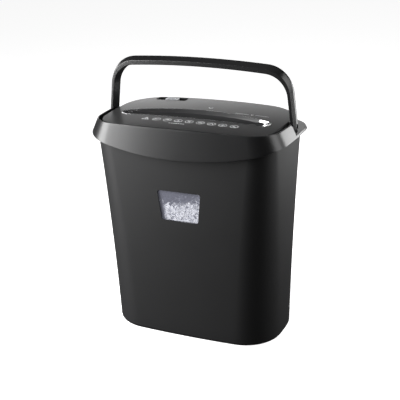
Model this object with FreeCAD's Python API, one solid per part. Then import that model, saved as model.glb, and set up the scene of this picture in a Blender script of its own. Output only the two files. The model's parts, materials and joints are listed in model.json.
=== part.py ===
import FreeCAD, Part
import math
import os

# Paper shredder: a waste bin, a lift-off cutting head and a folding carry handle.
# Millimetres, +Z up, front towards -Y, origin under the middle of the bin on its base.

# ---- driving dimensions ----
HEIGHT = 481.5              # top of the raised handle
BIN_TOP = 362.0
BIN_WALL = 2.5
BIN_FLOOR = 3.0
BIN_FLARE_WIDTH = 10.0      # how much the half width grows from base to rim
BIN_FLARE_DEPTH = 10.8
BIN_CORNER_LOSS = 24.5      # how much the corner radius shrinks from base to rim
BIN_FLARE_SHARES = ((0.0, 0.0), (0.5, 0.38), (1.0, 1.0))    # height share, flare share
BASE_ROUND = 7.0

BAND_TOP = 384.0            # top edge of the band round the head
BAND_LOW = 335.0            # lowest point of the band, at the middle of the front
BAND_WALL = 3.0
RIM_WALL = 2.2
BAND_SWEEP_R = 605.0        # the lower edge rises towards the sides on this radius
LEDGE_TOP = 365.5
LEDGE_THICK = 3.0
DECK_APEX = 389.2           # highest point of the crowned deck
DECK_APEX_Y = 60.0
DECK_CROWN_X = 3000.0       # crown radius from side to side
DECK_CROWN_Y = 2340.0       # crown radius from front to rear
DECK_THICK = 3.0
DECK_WALL = 2.5
DECK_EDGE = 1.2

HANDLE_PIVOT_Y = 8.0
HANDLE_PIVOT_Z = 378.0
HANDLE_DEPTH = 24.0
HANDLE_HALF_WIDTH_Z = 386.0 # height at which the half widths below are measured
HANDLE_LEAN = 0.12          # inward lean of each leg
HANDLE_BOW = 8.0            # rise of the grip over its half width
HANDLE_EDGE = 1.5           # rounding of the grip's inner edges
HANDLE_RIDGE = 2.0          # half depth of the flat on top of the crowned outer face
ARCH_RIDGE = dict(half=172.3, top=HEIGHT, corner_r=48.0)
ARCH_EDGE = dict(half=169.0, top=HEIGHT - 6.0, corner_r=46.0)
ARCH_INNER = dict(half=163.8, top=HEIGHT - 13.5, corner_r=41.0)
HANDLE_NOTCH_Y = -5.0       # the band's rim stops here, in front of the legs
PIN_R = 4.0
PIN_CLEARANCE = 0.06

SLOT_HALF = 112.0
SLOT_FRONT = -27.0
SLOT_REAR = -21.0
SLOT_BOTTOM = 351.0
SCOOP_FLOOR = 373.0

SHAFT_Z = 330.0
SHAFT_GAP = 32.0            # between the two cutter shafts
SHAFT_MID_Y = -28.0
SHAFT_R = 6.0
SHAFT_FLAT = 6.0            # half the width across the hexagon's flats
DISC_R = 18.0
DISC_THICK = 3.4
DISC_PITCH = 8.0
DISC_COUNT = 27
DISC_TEETH = 8
SPACER_R = 11.5
PLATE_X = 118.0             # inner faces of the side plates
PLATE_THICK = 3.0

CUTTER_TEETH = 16
CUTTER_MODULE = 2.0
DRIVE_TEETH = 40
DRIVE_PINION_TEETH = 12
DRIVE_MODULE = 1.25
WHEEL_TEETH = 44
MOTOR_PINION_TEETH = 12
WHEEL_MODULE = 1.0
MESH_GAP = 0.25             # extra distance between gear centres, for backlash
IDLER_RISE = 10.0           # angle of the idler axle above the rear shaft, degrees
MOTOR_DROP = 27.0           # angle of the motor below the idler axle, degrees
LAYER_A = (-129.5, -122.5)  # gear layers outside the left side plate
LAYER_B = (-137.0, -131.0)
LAYER_C = (-143.5, -138.5)

# plan outlines: half width, front and rear depth, bows of the sides, corner radii
BASE_PLAN = dict(half=155.5, front=85.5, rear=85.5, bow_x=9.0, bow_y=7.0, r_front=66.5, r_rear=66.5)
BAND_TOP_PLAN = dict(half=167.0, front=96.0, rear=96.0, bow_x=9.0, bow_y=8.0, r_front=47.0, r_rear=50.0)
BAND_LOW_PLAN = dict(half=190.0, front=107.0, rear=107.0, bow_x=9.0, bow_y=8.0, r_front=60.0, r_rear=60.0)
DECK_PLAN = dict(half=158.3, front=93.0, rear=91.5, bow_x=6.0, bow_y=8.0, r_front=45.0, r_rear=65.0)
OPENING_PLAN = dict(half=150.0, front=86.0, rear=84.0, bow_x=6.0, bow_y=8.0, r_front=40.0, r_rear=54.0)
HOUSING_PLAN = dict(half=151.0, front=74.0, rear=80.0, bow_x=2.0, bow_y=2.0, r_front=45.0, r_rear=45.0)
HOUSING_FLOOR = 290.0
HOUSING_WALL = 2.5
OUTLET = (-116.0, 116.0, -60.0, 4.0)
POSTS = ((-137.0, -48.0), (137.0, -48.0), (-132.0, 56.0), (132.0, 56.0))
POST_TOP = 353.0
POST_R = 5.0
SCREW_SEAT = 55.0           # depth of the screw wells above the housing floor
CROWN_REACH = 170.0         # half the size of the form that gives the deck its crown

# worked out from the above
LEDGE_LOW = LEDGE_TOP - LEDGE_THICK
FRONT_SHAFT_Y = SHAFT_MID_Y - SHAFT_GAP / 2
REAR_SHAFT_Y = SHAFT_MID_Y + SHAFT_GAP / 2
IDLER_REACH = DRIVE_MODULE * (DRIVE_TEETH + DRIVE_PINION_TEETH) / 2 + MESH_GAP
IDLER_Y = REAR_SHAFT_Y + IDLER_REACH * math.cos(math.radians(IDLER_RISE))
IDLER_Z = SHAFT_Z + IDLER_REACH * math.sin(math.radians(IDLER_RISE))
MOTOR_REACH = WHEEL_MODULE * (WHEEL_TEETH + MOTOR_PINION_TEETH) / 2 + MESH_GAP
MOTOR_Y = IDLER_Y + MOTOR_REACH * math.cos(math.radians(MOTOR_DROP))
MOTOR_Z = IDLER_Z - MOTOR_REACH * math.sin(math.radians(MOTOR_DROP))

V = FreeCAD.Vector
AXIS_X = V(1, 0, 0)
AXIS_Y = V(0, 1, 0)
AXIS_Z = V(0, 0, 1)
FAR = 600.0                 # longer than the whole object, for cutting blocks


# ---- shared shapes ----
def box(x0, x1, y0, y1, z0, z1):
    return Part.makeBox(x1 - x0, y1 - y0, z1 - z0, V(x0, y0, z0))


def rod(axis, start, length, radius):
    return Part.makeCylinder(radius, length, V(*start), axis)


def rod_x(x0, x1, y, z, radius):
    return rod(AXIS_X, (x0, y, z), x1 - x0, radius)


def pivot_rod(side, x0, x1, radius):
    """A rod on the handle's axis, on one side of the object."""
    low, high = sorted((side * x0, side * x1))
    return rod_x(low, high, HANDLE_PIVOT_Y, HANDLE_PIVOT_Z, radius)


def tube_x(x0, x1, y, z, outer, inner):
    return rod_x(x0, x1, y, z, outer).cut(rod_x(x0 - 1, x1 + 1, y, z, inner))


def rounded_box(x0, x1, y0, y1, z0, z1, radius):
    solid = box(x0, x1, y0, y1, z0, z1)
    upright = [e for e in solid.Edges if abs(e.BoundBox.ZLength - (z1 - z0)) < 1e-6]
    return solid.makeFillet(radius, upright)


def circle_meet(c1, r1, c2, r2, towards):
    """The point that lies r1 from c1 and r2 from c2, on the side of towards."""
    gap = c2.sub(c1)
    d = gap.Length
    along = (r1 * r1 - r2 * r2 + d * d) / (2 * d)
    off = math.sqrt(r1 * r1 - along * along)
    ux = gap.x / d
    uy = gap.y / d
    both = [V(c1.x + along * ux + s * off * uy, c1.y + along * uy - s * off * ux, c1.z) for s in (1, -1)]
    return max(both, key=lambda p: p.x * towards.x + p.y * towards.y)


def outline(plan, z, inset=0.0):
    """A rounded rectangle whose four sides are bowed outwards: eight tangent arcs."""
    side_r = (plan["front"] ** 2 + plan["bow_x"] ** 2) / (2 * plan["bow_x"])
    end_r = (plan["half"] ** 2 + plan["bow_y"] ** 2) / (2 * plan["bow_y"])
    side_c = V(plan["half"] - side_r, 0, z)
    corners = []
    for sign, depth, radius in ((-1, plan["front"], plan["r_front"]), (1, plan["rear"], plan["r_rear"])):
        end_c = V(0, sign * (depth - end_r), z)
        c = circle_meet(end_c, end_r - radius, side_c, side_r - radius, V(1, sign, 0))
        to_end = c.sub(end_c).normalize()
        to_side = c.sub(side_c).normalize()
        middle = to_end.add(to_side).normalize()
        r = radius - inset
        corners.append([c.add(V(d.x * r, d.y * r, 0)) for d in (to_end, middle, to_side)])
    front, rear = corners

    def flip(p):
        return V(-p.x, p.y, p.z)

    def arc(a, b, c):
        return Part.Arc(a, b, c).toShape()

    right = V(plan["half"] - inset, 0, z)
    edges = [
        arc(flip(front[0]), V(0, inset - plan["front"], z), front[0]),
        arc(*front),
        arc(front[2], right, rear[2]),
        arc(*reversed(rear)),
        arc(rear[0], V(0, plan["rear"] - inset, z), flip(rear[0])),
        arc(*[flip(p) for p in rear]),
        arc(flip(rear[2]), flip(right), flip(front[2])),
        arc(*[flip(p) for p in reversed(front)]),
    ]
    return Part.Wire(edges)


def prism(plan, z0, z1, inset=0.0):
    return Part.Face(outline(plan, z0, inset)).extrude(V(0, 0, z1 - z0))


def polygon(points):
    return Part.Face(Part.makePolygon(points + points[:1]))


def lens_wire(half, front, rear, tip, z):
    """An opening with a straight front edge, a bowed rear edge and round tips."""
    a = half - tip
    rise = rear - front - tip
    rear_r = (a * a / (rise - tip) + rise + tip) / 2
    centre = V(0, rear - rear_r, z)
    tip_c = V(a, front + tip, z)
    to_tip = tip_c.sub(centre).normalize()
    end = tip_c.add(V(to_tip.x * tip, to_tip.y * tip, 0))
    turn = (math.atan2(to_tip.y, to_tip.x) - math.pi / 2) / 2
    middle = tip_c.add(V(tip * math.cos(turn), tip * math.sin(turn), 0))

    def flip(p):
        return V(-p.x, p.y, p.z)
    return Part.Wire([
        Part.makeLine(V(-a, front, z), V(a, front, z)),
        Part.Arc(V(a, front, z), middle, end).toShape(),
        Part.Arc(end, V(0, rear, z), flip(end)).toShape(),
        Part.Arc(flip(end), flip(middle), V(-a, front, z)).toShape(),
    ])


def lens(low, z0, z1, high=None):
    """An upright block with that outline; a second size at the top makes its wall slope."""
    if high is None:
        return Part.Face(lens_wire(*low, z0)).extrude(V(0, 0, z1 - z0))
    return Part.makeLoft([lens_wire(*low, z0), lens_wire(*high, z1)], True, True)


def crowned(lift):
    """Everything under the crowned surface of the deck, moved up by lift."""
    rise_x = CROWN_REACH ** 2 / (2 * DECK_CROWN_X)
    rise_y = CROWN_REACH ** 2 / (2 * DECK_CROWN_Y)
    surface = Part.BezierSurface()
    surface.increase(2, 2)
    for i, sign_x in enumerate((-1, 1, -1)):
        for j, sign_y in enumerate((-1, 1, -1)):
            z = DECK_APEX + lift + sign_x * rise_x + sign_y * rise_y
            place = V((i - 1) * CROWN_REACH, DECK_APEX_Y + (j - 1) * CROWN_REACH, z)
            surface.setPole(i + 1, j + 1, place)
    return surface.toShape().extrude(V(0, 0, -CROWN_REACH))


def gear_x(x0, x1, y, z, teeth, module, bore, turn=0.0):
    """A spur gear along X. turn is the angle of its first tooth from +Y towards +Z, degrees."""
    pitch_r = teeth * module / 2
    tip_r = pitch_r + 0.8 * module
    root_r = pitch_r - 1.2 * module
    step = 2 * math.pi / teeth
    root_half, pitch_half, tip_half = (step * share for share in (0.29, 0.215, 0.11))
    points = []
    for i in range(teeth):
        mid = math.radians(turn) + i * step
        for r, a in ((root_r, -root_half), (pitch_r, -pitch_half), (tip_r, -tip_half),
                     (tip_r, tip_half), (pitch_r, pitch_half), (root_r, root_half)):
            points.append(V(x0, y + r * math.cos(mid + a), z + r * math.sin(mid + a)))
    blank = polygon(points).extrude(V(x1 - x0, 0, 0))
    return blank.cut(rod_x(x0 - 1, x1 + 1, y, z, bore))


def hex_x(x0, x1, y, z, half_flat, turn=0.0):
    radius = half_flat / math.cos(math.pi / 6)
    step = math.pi / 3
    points = [V(x0, y + radius * math.cos(turn + k * step), z + radius * math.sin(turn + k * step))
              for k in range(6)]
    return polygon(points).extrude(V(x1 - x0, 0, 0))


# ---- bin ----
def bin_form(inset, top=BIN_TOP):
    wires = []
    for height_share, flare_share in BIN_FLARE_SHARES:
        plan = dict(BASE_PLAN)
        plan["half"] += BIN_FLARE_WIDTH * flare_share
        plan["front"] += BIN_FLARE_DEPTH * flare_share
        plan["rear"] += BIN_FLARE_DEPTH * flare_share
        plan["r_front"] -= BIN_CORNER_LOSS * flare_share
        plan["r_rear"] -= BIN_CORNER_LOSS * flare_share
        wires.append(outline(plan, BIN_TOP * height_share, inset))
    solid = Part.makeLoft(wires, True, False)
    if top < BIN_TOP:
        solid = solid.common(box(-FAR, FAR, -FAR, FAR, 0, top))
    return solid


WINDOW = dict(low=223.0, high=276.0, half_low=34.2, half_high=38.8, corner=4.0)


def window_block(grow, y0=-120.0, y1=-60.0):
    low = WINDOW["low"] - grow
    high = WINDOW["high"] + grow
    half_low = WINDOW["half_low"] + grow
    half_high = WINDOW["half_high"] + grow
    block = polygon([V(-half_low, y0, low), V(half_low, y0, low), V(half_high, y0, high),
                     V(-half_high, y0, high)]).extrude(V(0, y1 - y0, 0))
    across = [e for e in block.Edges if abs(e.BoundBox.YLength - (y1 - y0)) < 1e-6]
    return block.makeFillet(WINDOW["corner"] + grow, across)


INTERLOCK = dict(x=154.5, y=25.0, half_y=8.0, low=346.0, tab_top=336.0)


def bin_shell():
    outer = bin_form(0.0)
    outer = outer.makeFillet(BASE_ROUND, [e for e in outer.Edges if e.BoundBox.ZMax < 1e-3])
    inner = bin_form(BIN_WALL)
    hollow = inner.common(box(-FAR, FAR, -FAR, FAR, BIN_FLOOR, BIN_TOP + 1))
    shell = outer.cut(hollow).cut(window_block(0.0))
    tab = box(INTERLOCK["x"] - 3, INTERLOCK["x"] + 15, INTERLOCK["y"] - 5, INTERLOCK["y"] + 5,
              INTERLOCK["tab_top"] - 4, INTERLOCK["tab_top"])
    return shell.fuse(tab.common(outer))


def window_pane():
    skin = bin_form(0.8).cut(bin_form(BIN_WALL))
    flange = bin_form(BIN_WALL).cut(bin_form(BIN_WALL + 1.5))
    pane = skin.common(window_block(-0.15)).fuse(flange.common(window_block(4.0)))
    return pane.common(box(-FAR, FAR, -FAR, -40, 0, BIN_TOP)).removeSplitter()


HEAP_TOP = 250.0
HEAP_SHELL = 3.0
HEAP_GAP = 4.5


def shred_heap():
    outer = bin_form(BIN_WALL + HEAP_GAP, HEAP_TOP)
    inner = bin_form(BIN_WALL + HEAP_GAP + HEAP_SHELL, HEAP_TOP - HEAP_SHELL)
    return outer.cut(inner).common(box(-FAR, FAR, -FAR, FAR, BIN_FLOOR, HEAP_TOP))


# ---- head casing ----
def band_form(inset, z0, z1):
    loft = Part.makeLoft([outline(BAND_LOW_PLAN, BAND_LOW, inset), outline(BAND_TOP_PLAN, BAND_TOP, inset)],
                         True, True)
    return loft.common(box(-FAR, FAR, -FAR, FAR, z0, z1))


CORD_EXIT = dict(x=-110.0, z=351.0, y=94.0, radius=6.0, collar=8.5, end=106.4)


def head_band():
    sweep = rod(AXIS_Y, (0, -FAR, BAND_LOW + BAND_SWEEP_R), 2 * FAR, BAND_SWEEP_R)
    solid = band_form(0.0, BAND_LOW, BAND_TOP).common(sweep)
    solid = solid.cut(band_form(BAND_WALL, BAND_LOW, LEDGE_LOW))
    solid = solid.cut(band_form(RIM_WALL, LEDGE_TOP, BAND_TOP))
    solid = solid.cut(box(-FAR, FAR, HANDLE_NOTCH_Y, FAR, LEDGE_TOP, BAND_TOP + 1))
    solid = solid.cut(prism(OPENING_PLAN, BAND_LOW, BAND_TOP))
    hole = rod(AXIS_Y, (CORD_EXIT["x"], CORD_EXIT["y"], CORD_EXIT["z"]), 30, CORD_EXIT["radius"])
    return solid.cut(hole)


def cord_gland():
    place = (CORD_EXIT["x"], CORD_EXIT["y"], CORD_EXIT["z"])
    length = CORD_EXIT["end"] - CORD_EXIT["y"]
    stem = rod(AXIS_Y, place, length, CORD_EXIT["radius"])
    collar = rod(AXIS_Y, place, length, CORD_EXIT["collar"]).cut(band_form(0.0, BAND_LOW, BAND_TOP))
    bore = rod(AXIS_Y, (place[0], place[1] - 1, place[2]), length + 2, 3.5)
    return stem.fuse(collar).cut(bore).removeSplitter()


# feed opening, outer and inner edge of its trim: half width, front, rear, tip radius
BEZEL_OUT = (137.0, -34.0, 16.0, 14.0)
BEZEL_TOP = (135.8, -33.0, 15.4, 13.2)
BEZEL_IN = (123.0, -31.5, 14.6, 14.0)
BEZEL_LOW = 381.5
BEZEL_PROUD = 0.2
KNOB_TOP = 388.4
SWITCH = dict(x=-85.0, y=74.0, half_x=30.0, half_y=10.0, floor=380.0, corner=6.0)
PIVOT_BOSS_R = 6.3
PIVOT_BOSS_END = 162.8
PIVOT_BLOCK_X = (148.3, 157.0)      # the thickened part of the deck's side that holds the pin
PIVOT_BLOCK_HALF = 9.0
PIVOT_BLOCK_LOW = 366.5
PIN_HEAD_R = 5.0
PIN_HEAD_X = (146.0, 148.0)
PIN_HEAD_ROOM = 0.4
PIN_END = 171.0


def switch_block(inset, z0, z1):
    s = SWITCH
    return rounded_box(s["x"] - s["half_x"] + inset, s["x"] + s["half_x"] - inset,
                       s["y"] - s["half_y"] + inset, s["y"] + s["half_y"] - inset,
                       z0, z1, s["corner"] - inset)


def deck_cover():
    outer = prism(DECK_PLAN, LEDGE_TOP, DECK_APEX + 1).common(crowned(0.0))
    outer = outer.makeFillet(DECK_EDGE, [e for e in outer.Edges if e.BoundBox.ZMin > LEDGE_TOP + 5])
    inside = prism(DECK_PLAN, LEDGE_TOP, DECK_APEX, DECK_WALL).common(crowned(-DECK_THICK))
    solid = outer.cut(inside)
    for x, y in POSTS:
        solid = solid.fuse(rod(AXIS_Z, (x, y, POST_TOP), DECK_APEX - POST_TOP, POST_R).common(crowned(-1.0)))
    for side in (-1, 1):
        x0, x1 = sorted((side * PIVOT_BLOCK_X[0], side * PIVOT_BLOCK_X[1]))
        block = box(x0, x1, HANDLE_PIVOT_Y - PIVOT_BLOCK_HALF, HANDLE_PIVOT_Y + PIVOT_BLOCK_HALF,
                    PIVOT_BLOCK_LOW, DECK_APEX)
        solid = solid.fuse(block.common(crowned(-1.0)))
        solid = solid.fuse(pivot_rod(side, PIVOT_BLOCK_X[1] - 1, PIVOT_BOSS_END, PIVOT_BOSS_R))
        solid = solid.cut(pivot_rod(side, PIN_HEAD_X[0] - 1, PIVOT_BLOCK_X[0], PIN_HEAD_R + PIN_HEAD_ROOM))
        solid = solid.cut(pivot_rod(side, PIN_HEAD_X[0], FAR, PIN_R))
    for x, y in POSTS:
        solid = solid.cut(rod(AXIS_Z, (x, y, POST_TOP - 1), 20, 2.0))
    solid = solid.cut(lens(BEZEL_OUT, POST_TOP, DECK_APEX + 1))
    return solid.cut(switch_block(0.0, SWITCH["floor"], DECK_APEX + 1))


def throat_bezel():
    outer = lens(BEZEL_OUT, BEZEL_LOW, DECK_APEX + 1).common(crowned(BEZEL_PROUD))
    return outer.cut(lens(BEZEL_IN, BEZEL_LOW, DECK_APEX + BEZEL_PROUD, BEZEL_TOP))


def feed_throat():
    block = lens(BEZEL_OUT, SCOOP_FLOOR - 3, BEZEL_LOW)
    half, front, rear, tip = BEZEL_IN
    scoop = polygon([V(-half, front, BEZEL_LOW + 1), V(-half, SLOT_FRONT, SCOOP_FLOOR),
                     V(-half, SLOT_REAR, SCOOP_FLOOR), V(-half, rear, BEZEL_LOW + 1)])
    scoop = scoop.extrude(V(2 * half, 0, 0)).common(lens(BEZEL_IN, SCOOP_FLOOR - 4, BEZEL_LOW + 1))
    under = polygon([V(-half, SLOT_REAR + 6, SCOOP_FLOOR - 3), V(-half, rear, BEZEL_LOW - 4),
                     V(-half, rear, SCOOP_FLOOR - 3)]).extrude(V(2 * half, 0, 0))
    solid = block.cut(scoop).cut(under)
    chute = box(-SLOT_HALF - 3, SLOT_HALF + 3, SLOT_FRONT - 3, SLOT_REAR + 3, SLOT_BOTTOM, SCOOP_FLOOR - 1)
    slot = box(-SLOT_HALF, SLOT_HALF, SLOT_FRONT, SLOT_REAR, SLOT_BOTTOM - 1, SCOOP_FLOOR + 1)
    gate = box(-FLAP["gate"], FLAP["gate"], SLOT_FRONT, SLOT_REAR + 4, SLOT_BOTTOM - 1, SCOOP_FLOOR - 3)
    return solid.fuse(chute).cut(slot).cut(gate).removeSplitter()


def lower_housing():
    solid = prism(HOUSING_PLAN, HOUSING_FLOOR, LEDGE_LOW)
    inside = prism(HOUSING_PLAN, HOUSING_FLOOR + HOUSING_WALL, LEDGE_LOW, HOUSING_WALL)
    for x, y in POSTS:
        inside = inside.cut(rod(AXIS_Z, (x, y, HOUSING_FLOOR), POST_TOP - HOUSING_FLOOR, POST_R + 1))
    solid = solid.cut(inside)
    for x, y in POSTS:
        solid = solid.cut(rod(AXIS_Z, (x, y, POST_TOP), FAR, POST_R + 0.5))
        solid = solid.cut(rod(AXIS_Z, (x, y, HOUSING_FLOOR - 1), SCREW_SEAT + 1, 4.5))
        solid = solid.cut(rod(AXIS_Z, (x, y, HOUSING_FLOOR), FAR, 2.0))
    x0, x1, y0, y1 = OUTLET
    return solid.cut(box(x0, x1, y0, y1, HOUSING_FLOOR - 1, HOUSING_FLOOR + HOUSING_WALL + 1))


def housing_screws():
    screws = []
    seat = HOUSING_FLOOR + SCREW_SEAT
    for x, y in POSTS:
        head = rod(AXIS_Z, (x, y, seat - 3), 3, 3.8)
        cross = box(x - 2.2, x + 2.2, y - 0.5, y + 0.5, seat - 4, seat - 1.5)
        cross = cross.fuse(box(x - 0.5, x + 0.5, y - 2.2, y + 2.2, seat - 4, seat - 1.5))
        screws.append(head.cut(cross).fuse(rod(AXIS_Z, (x, y, seat), 26, 2.0)))
    return Part.makeCompound(screws)


# ---- handle ----
def arch_outline(arch, y, z0):
    """Outline of an arch in the XZ plane at y, closed along z0."""
    grow = math.hypot(1, HANDLE_LEAN)
    nx = 1 / grow
    nz = HANDLE_LEAN / grow
    half = arch["half"]
    r = arch["corner_r"]
    top_r = (half ** 2 + HANDLE_BOW ** 2) / (2 * HANDLE_BOW)
    top_z = arch["top"] - top_r
    px = half - r * nx
    pz = HANDLE_HALF_WIDTH_Z - r * nz - top_z
    b = -px * nz + pz * nx
    c = px * px + pz * pz - (top_r - r) ** 2
    s = -b + math.sqrt(b * b - c)
    cx = px - s * nz
    cz = pz + s * nx + top_z
    up = V(cx, 0, cz - top_z).normalize()
    foot = V(half - HANDLE_LEAN * (z0 - HANDLE_HALF_WIDTH_Z), y, z0)
    start = V(cx + r * nx, y, cz + r * nz)
    middle_dir = V(nx, 0, nz).add(up).normalize()
    middle = V(cx + r * middle_dir.x, y, cz + r * middle_dir.z)
    end = V(cx + r * up.x, y, cz + r * up.z)
    top = V(0, y, arch["top"])

    def flip(p):
        return V(-p.x, p.y, p.z)
    return Part.Wire([
        Part.makeLine(foot, start),
        Part.Arc(start, middle, end).toShape(),
        Part.Arc(end, top, flip(end)).toShape(),
        Part.Arc(flip(end), flip(middle), flip(start)).toShape(),
        Part.makeLine(flip(start), flip(foot)),
        Part.makeLine(flip(foot), foot),
    ])


def handle_arch():
    low = HANDLE_PIVOT_Z - HANDLE_DEPTH
    y0 = HANDLE_PIVOT_Y - HANDLE_DEPTH / 2
    y1 = HANDLE_PIVOT_Y + HANDLE_DEPTH / 2
    ridge = [arch_outline(ARCH_RIDGE, HANDLE_PIVOT_Y + side * HANDLE_RIDGE, low) for side in (-1, 1)]
    front = Part.makeLoft([arch_outline(ARCH_EDGE, y0, low), ridge[0]], True, True)
    middle = Part.Face(ridge[0]).extrude(V(0, 2 * HANDLE_RIDGE, 0))
    rear = Part.makeLoft([ridge[1], arch_outline(ARCH_EDGE, y1, low)], True, True)
    inner = Part.Face(arch_outline(ARCH_INNER, y0 - 1, low)).extrude(V(0, HANDLE_DEPTH + 2, 0))
    strap = front.fuse(middle).fuse(rear).cut(inner)
    grip_edges = [e for e in strap.Edges if abs(e.BoundBox.ZMax - ARCH_INNER["top"]) < 0.2
                  and e.BoundBox.YLength < 1e-3 and e.BoundBox.XLength > ARCH_INNER["half"]]
    strap = strap.makeFillet(HANDLE_EDGE, grip_edges)
    side = rod_x(-FAR, FAR, HANDLE_PIVOT_Y, HANDLE_PIVOT_Z, HANDLE_DEPTH / 2)
    side = side.fuse(box(-FAR, FAR, y0, y1, HANDLE_PIVOT_Z, HEIGHT + 1))
    solid = strap.common(side).removeSplitter()
    return solid.cut(rod_x(-FAR, FAR, HANDLE_PIVOT_Y, HANDLE_PIVOT_Z, PIN_R + PIN_CLEARANCE))


def handle_pins():
    pins = []
    for side in (-1, 1):
        shank = pivot_rod(side, PIN_HEAD_X[1], PIN_END, PIN_R)
        pins.append(shank.fuse(pivot_rod(side, *PIN_HEAD_X, PIN_HEAD_R)))
    return Part.makeCompound(pins)


# ---- cutting block ----
def disc_places(row):
    first = -DISC_PITCH * (DISC_COUNT - 1) / 2 - (DISC_PITCH / 2 if row == "rear" else 0)
    return [first + DISC_PITCH * i for i in range(DISC_COUNT)]


def shaft_y(row):
    return FRONT_SHAFT_Y if row == "front" else REAR_SHAFT_Y


def cutter_shaft(row):
    y = shaft_y(row)
    left = LAYER_A[0] - 1.0 if row == "front" else LAYER_B[0] - 0.8
    shaft = rod_x(left, PLATE_X + 9, y, SHAFT_Z, SHAFT_R)
    return shaft.fuse(hex_x(-PLATE_X + 2, PLATE_X - 2, y, SHAFT_Z, SHAFT_FLAT))


def cutter_discs(row):
    """Round blades with hooked teeth; each blade is turned a little from the one before."""
    y = shaft_y(row)
    tooth = 2 * math.pi / DISC_TEETH
    bore = hex_x(-FAR, FAR, y, SHAFT_Z, SHAFT_FLAT)
    discs = []
    for i, x in enumerate(disc_places(row)):
        points = []
        for k in range(DISC_TEETH):
            for share, r in ((0.0, DISC_R), (0.08, DISC_R - 2.4), (0.3, DISC_R - 1.6), (0.65, DISC_R - 0.5)):
                a = tooth * (k + share + i / 3)
                points.append(V(x - DISC_THICK / 2, y + r * math.cos(a), SHAFT_Z + r * math.sin(a)))
        discs.append(polygon(points).extrude(V(DISC_THICK, 0, 0)).cut(bore))
    return Part.makeCompound(discs)


def cutter_spacers(row):
    y = shaft_y(row)
    bore = hex_x(-FAR, FAR, y, SHAFT_Z, SHAFT_FLAT)
    places = disc_places(row)
    rings = [rod_x(x + DISC_THICK / 2, x + DISC_PITCH - DISC_THICK / 2, y, SHAFT_Z, SPACER_R).cut(bore)
             for x in places[:-1]]
    ends = ((2 - PLATE_X, places[0] - DISC_THICK / 2), (places[-1] + DISC_THICK / 2, PLATE_X - 2))
    rings += [rod_x(x0, x1, y, SHAFT_Z, SPACER_R).cut(bore) for x0, x1 in ends]
    return Part.makeCompound(rings)


def circlip(row):
    y = shaft_y(row)
    x = PLATE_X + PLATE_THICK + 2.0
    ring = tube_x(x, x + 1.2, y, SHAFT_Z, SHAFT_R + 2.5, SHAFT_R)
    return ring.cut(box(x - 1, x + 3, y - 2, y + 2, SHAFT_Z, SHAFT_Z + 12))


def stripper(row):
    """A comb whose fingers reach in between the blades to clear the strips."""
    y = shaft_y(row)
    away = -1 if row == "front" else 1
    near, far = (y + away * d for d in (DISC_R + 1.5, DISC_R + 6.0))
    tip = y + away * (SPACER_R + 0.6)
    bar = box(-PLATE_X, PLATE_X, min(near, far), max(near, far), SHAFT_Z - 12, SHAFT_Z + 12)
    half = (DISC_PITCH - DISC_THICK) / 2 - 0.5
    for x in disc_places(row)[:-1]:
        mid = x + DISC_PITCH / 2
        bar = bar.fuse(box(mid - half, mid + half, min(near, tip), max(near, tip), SHAFT_Z - 5, SHAFT_Z + 5))
    return bar


PLATE_Y = (-67.0, 70.0)
PLATE_HIGH = 358.0
TIE_RODS = ((-58.0, 303.0), (-58.0, 353.0), (10.0, 353.0), (9.0, 303.0))
TIE_ROD_R = 3.5
BUSH_R = 9.0
STANDOFFS = ((MOTOR_Y + 21.0, MOTOR_Z + 21.0), (MOTOR_Y - 21.0, MOTOR_Z - 21.0))


def side_plate(side):
    x0, x1 = sorted((side * PLATE_X, side * (PLATE_X + PLATE_THICK)))
    plate = box(x0, x1, *PLATE_Y, HOUSING_FLOOR + HOUSING_WALL, PLATE_HIGH)
    corners = [e for e in plate.Edges if abs(e.BoundBox.XLength - PLATE_THICK) < 1e-6]
    plate = plate.makeFillet(6.0, corners)
    for y in (FRONT_SHAFT_Y, REAR_SHAFT_Y):
        plate = plate.cut(rod_x(x0 - 1, x1 + 1, y, SHAFT_Z, BUSH_R))
    for y, z in TIE_RODS:
        plate = plate.cut(rod_x(x0 - 1, x1 + 1, y, z, TIE_ROD_R))
    if side < 0:
        plate = plate.cut(rod_x(x0 - 1, x1 + 1, IDLER_Y, IDLER_Z, PIN_R))
        plate = plate.cut(rod_x(x0 - 1, x1 + 1, MOTOR_Y, MOTOR_Z, 7.0))
        for y, z in STANDOFFS:
            plate = plate.cut(rod_x(x0 - 1, x1 + 1, y, z, 2.0))
    return plate


def tie_rods():
    end = PLATE_X + PLATE_THICK + 6
    return Part.makeCompound([rod_x(-end, end, y, z, TIE_ROD_R) for y, z in TIE_RODS])


def tie_rod_nuts():
    nuts = []
    for y, z in TIE_RODS:
        for side in (-1, 1):
            x0, x1 = sorted((side * (PLATE_X + PLATE_THICK), side * (PLATE_X + PLATE_THICK + 4)))
            nuts.append(hex_x(x0, x1, y, z, 5.5).cut(rod_x(x0 - 1, x1 + 1, y, z, TIE_ROD_R)))
    return Part.makeCompound(nuts)


def shaft_bushes():
    bushes = []
    for y in (FRONT_SHAFT_Y, REAR_SHAFT_Y):
        for side in (-1, 1):
            x0, x1 = sorted((side * (PLATE_X - 1), side * (PLATE_X + PLATE_THICK)))
            f0, f1 = sorted((side * (PLATE_X + PLATE_THICK), side * (PLATE_X + PLATE_THICK + 1.2)))
            bush = rod_x(x0, x1, y, SHAFT_Z, BUSH_R).fuse(rod_x(f0, f1, y, SHAFT_Z, BUSH_R + 2))
            bushes.append(bush.cut(rod_x(x0 - 3, f1 + 3, y, SHAFT_Z, SHAFT_R + 0.05)
                                   if side > 0 else rod_x(f0 - 3, x1 + 3, y, SHAFT_Z, SHAFT_R + 0.05)))
    return Part.makeCompound(bushes)


# ---- gears ----
# A gear's first tooth is turned so that it enters the gap of the gear it meets.
def tooth_gap_turn(teeth, direction):
    return direction + 180.0 / teeth


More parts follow.
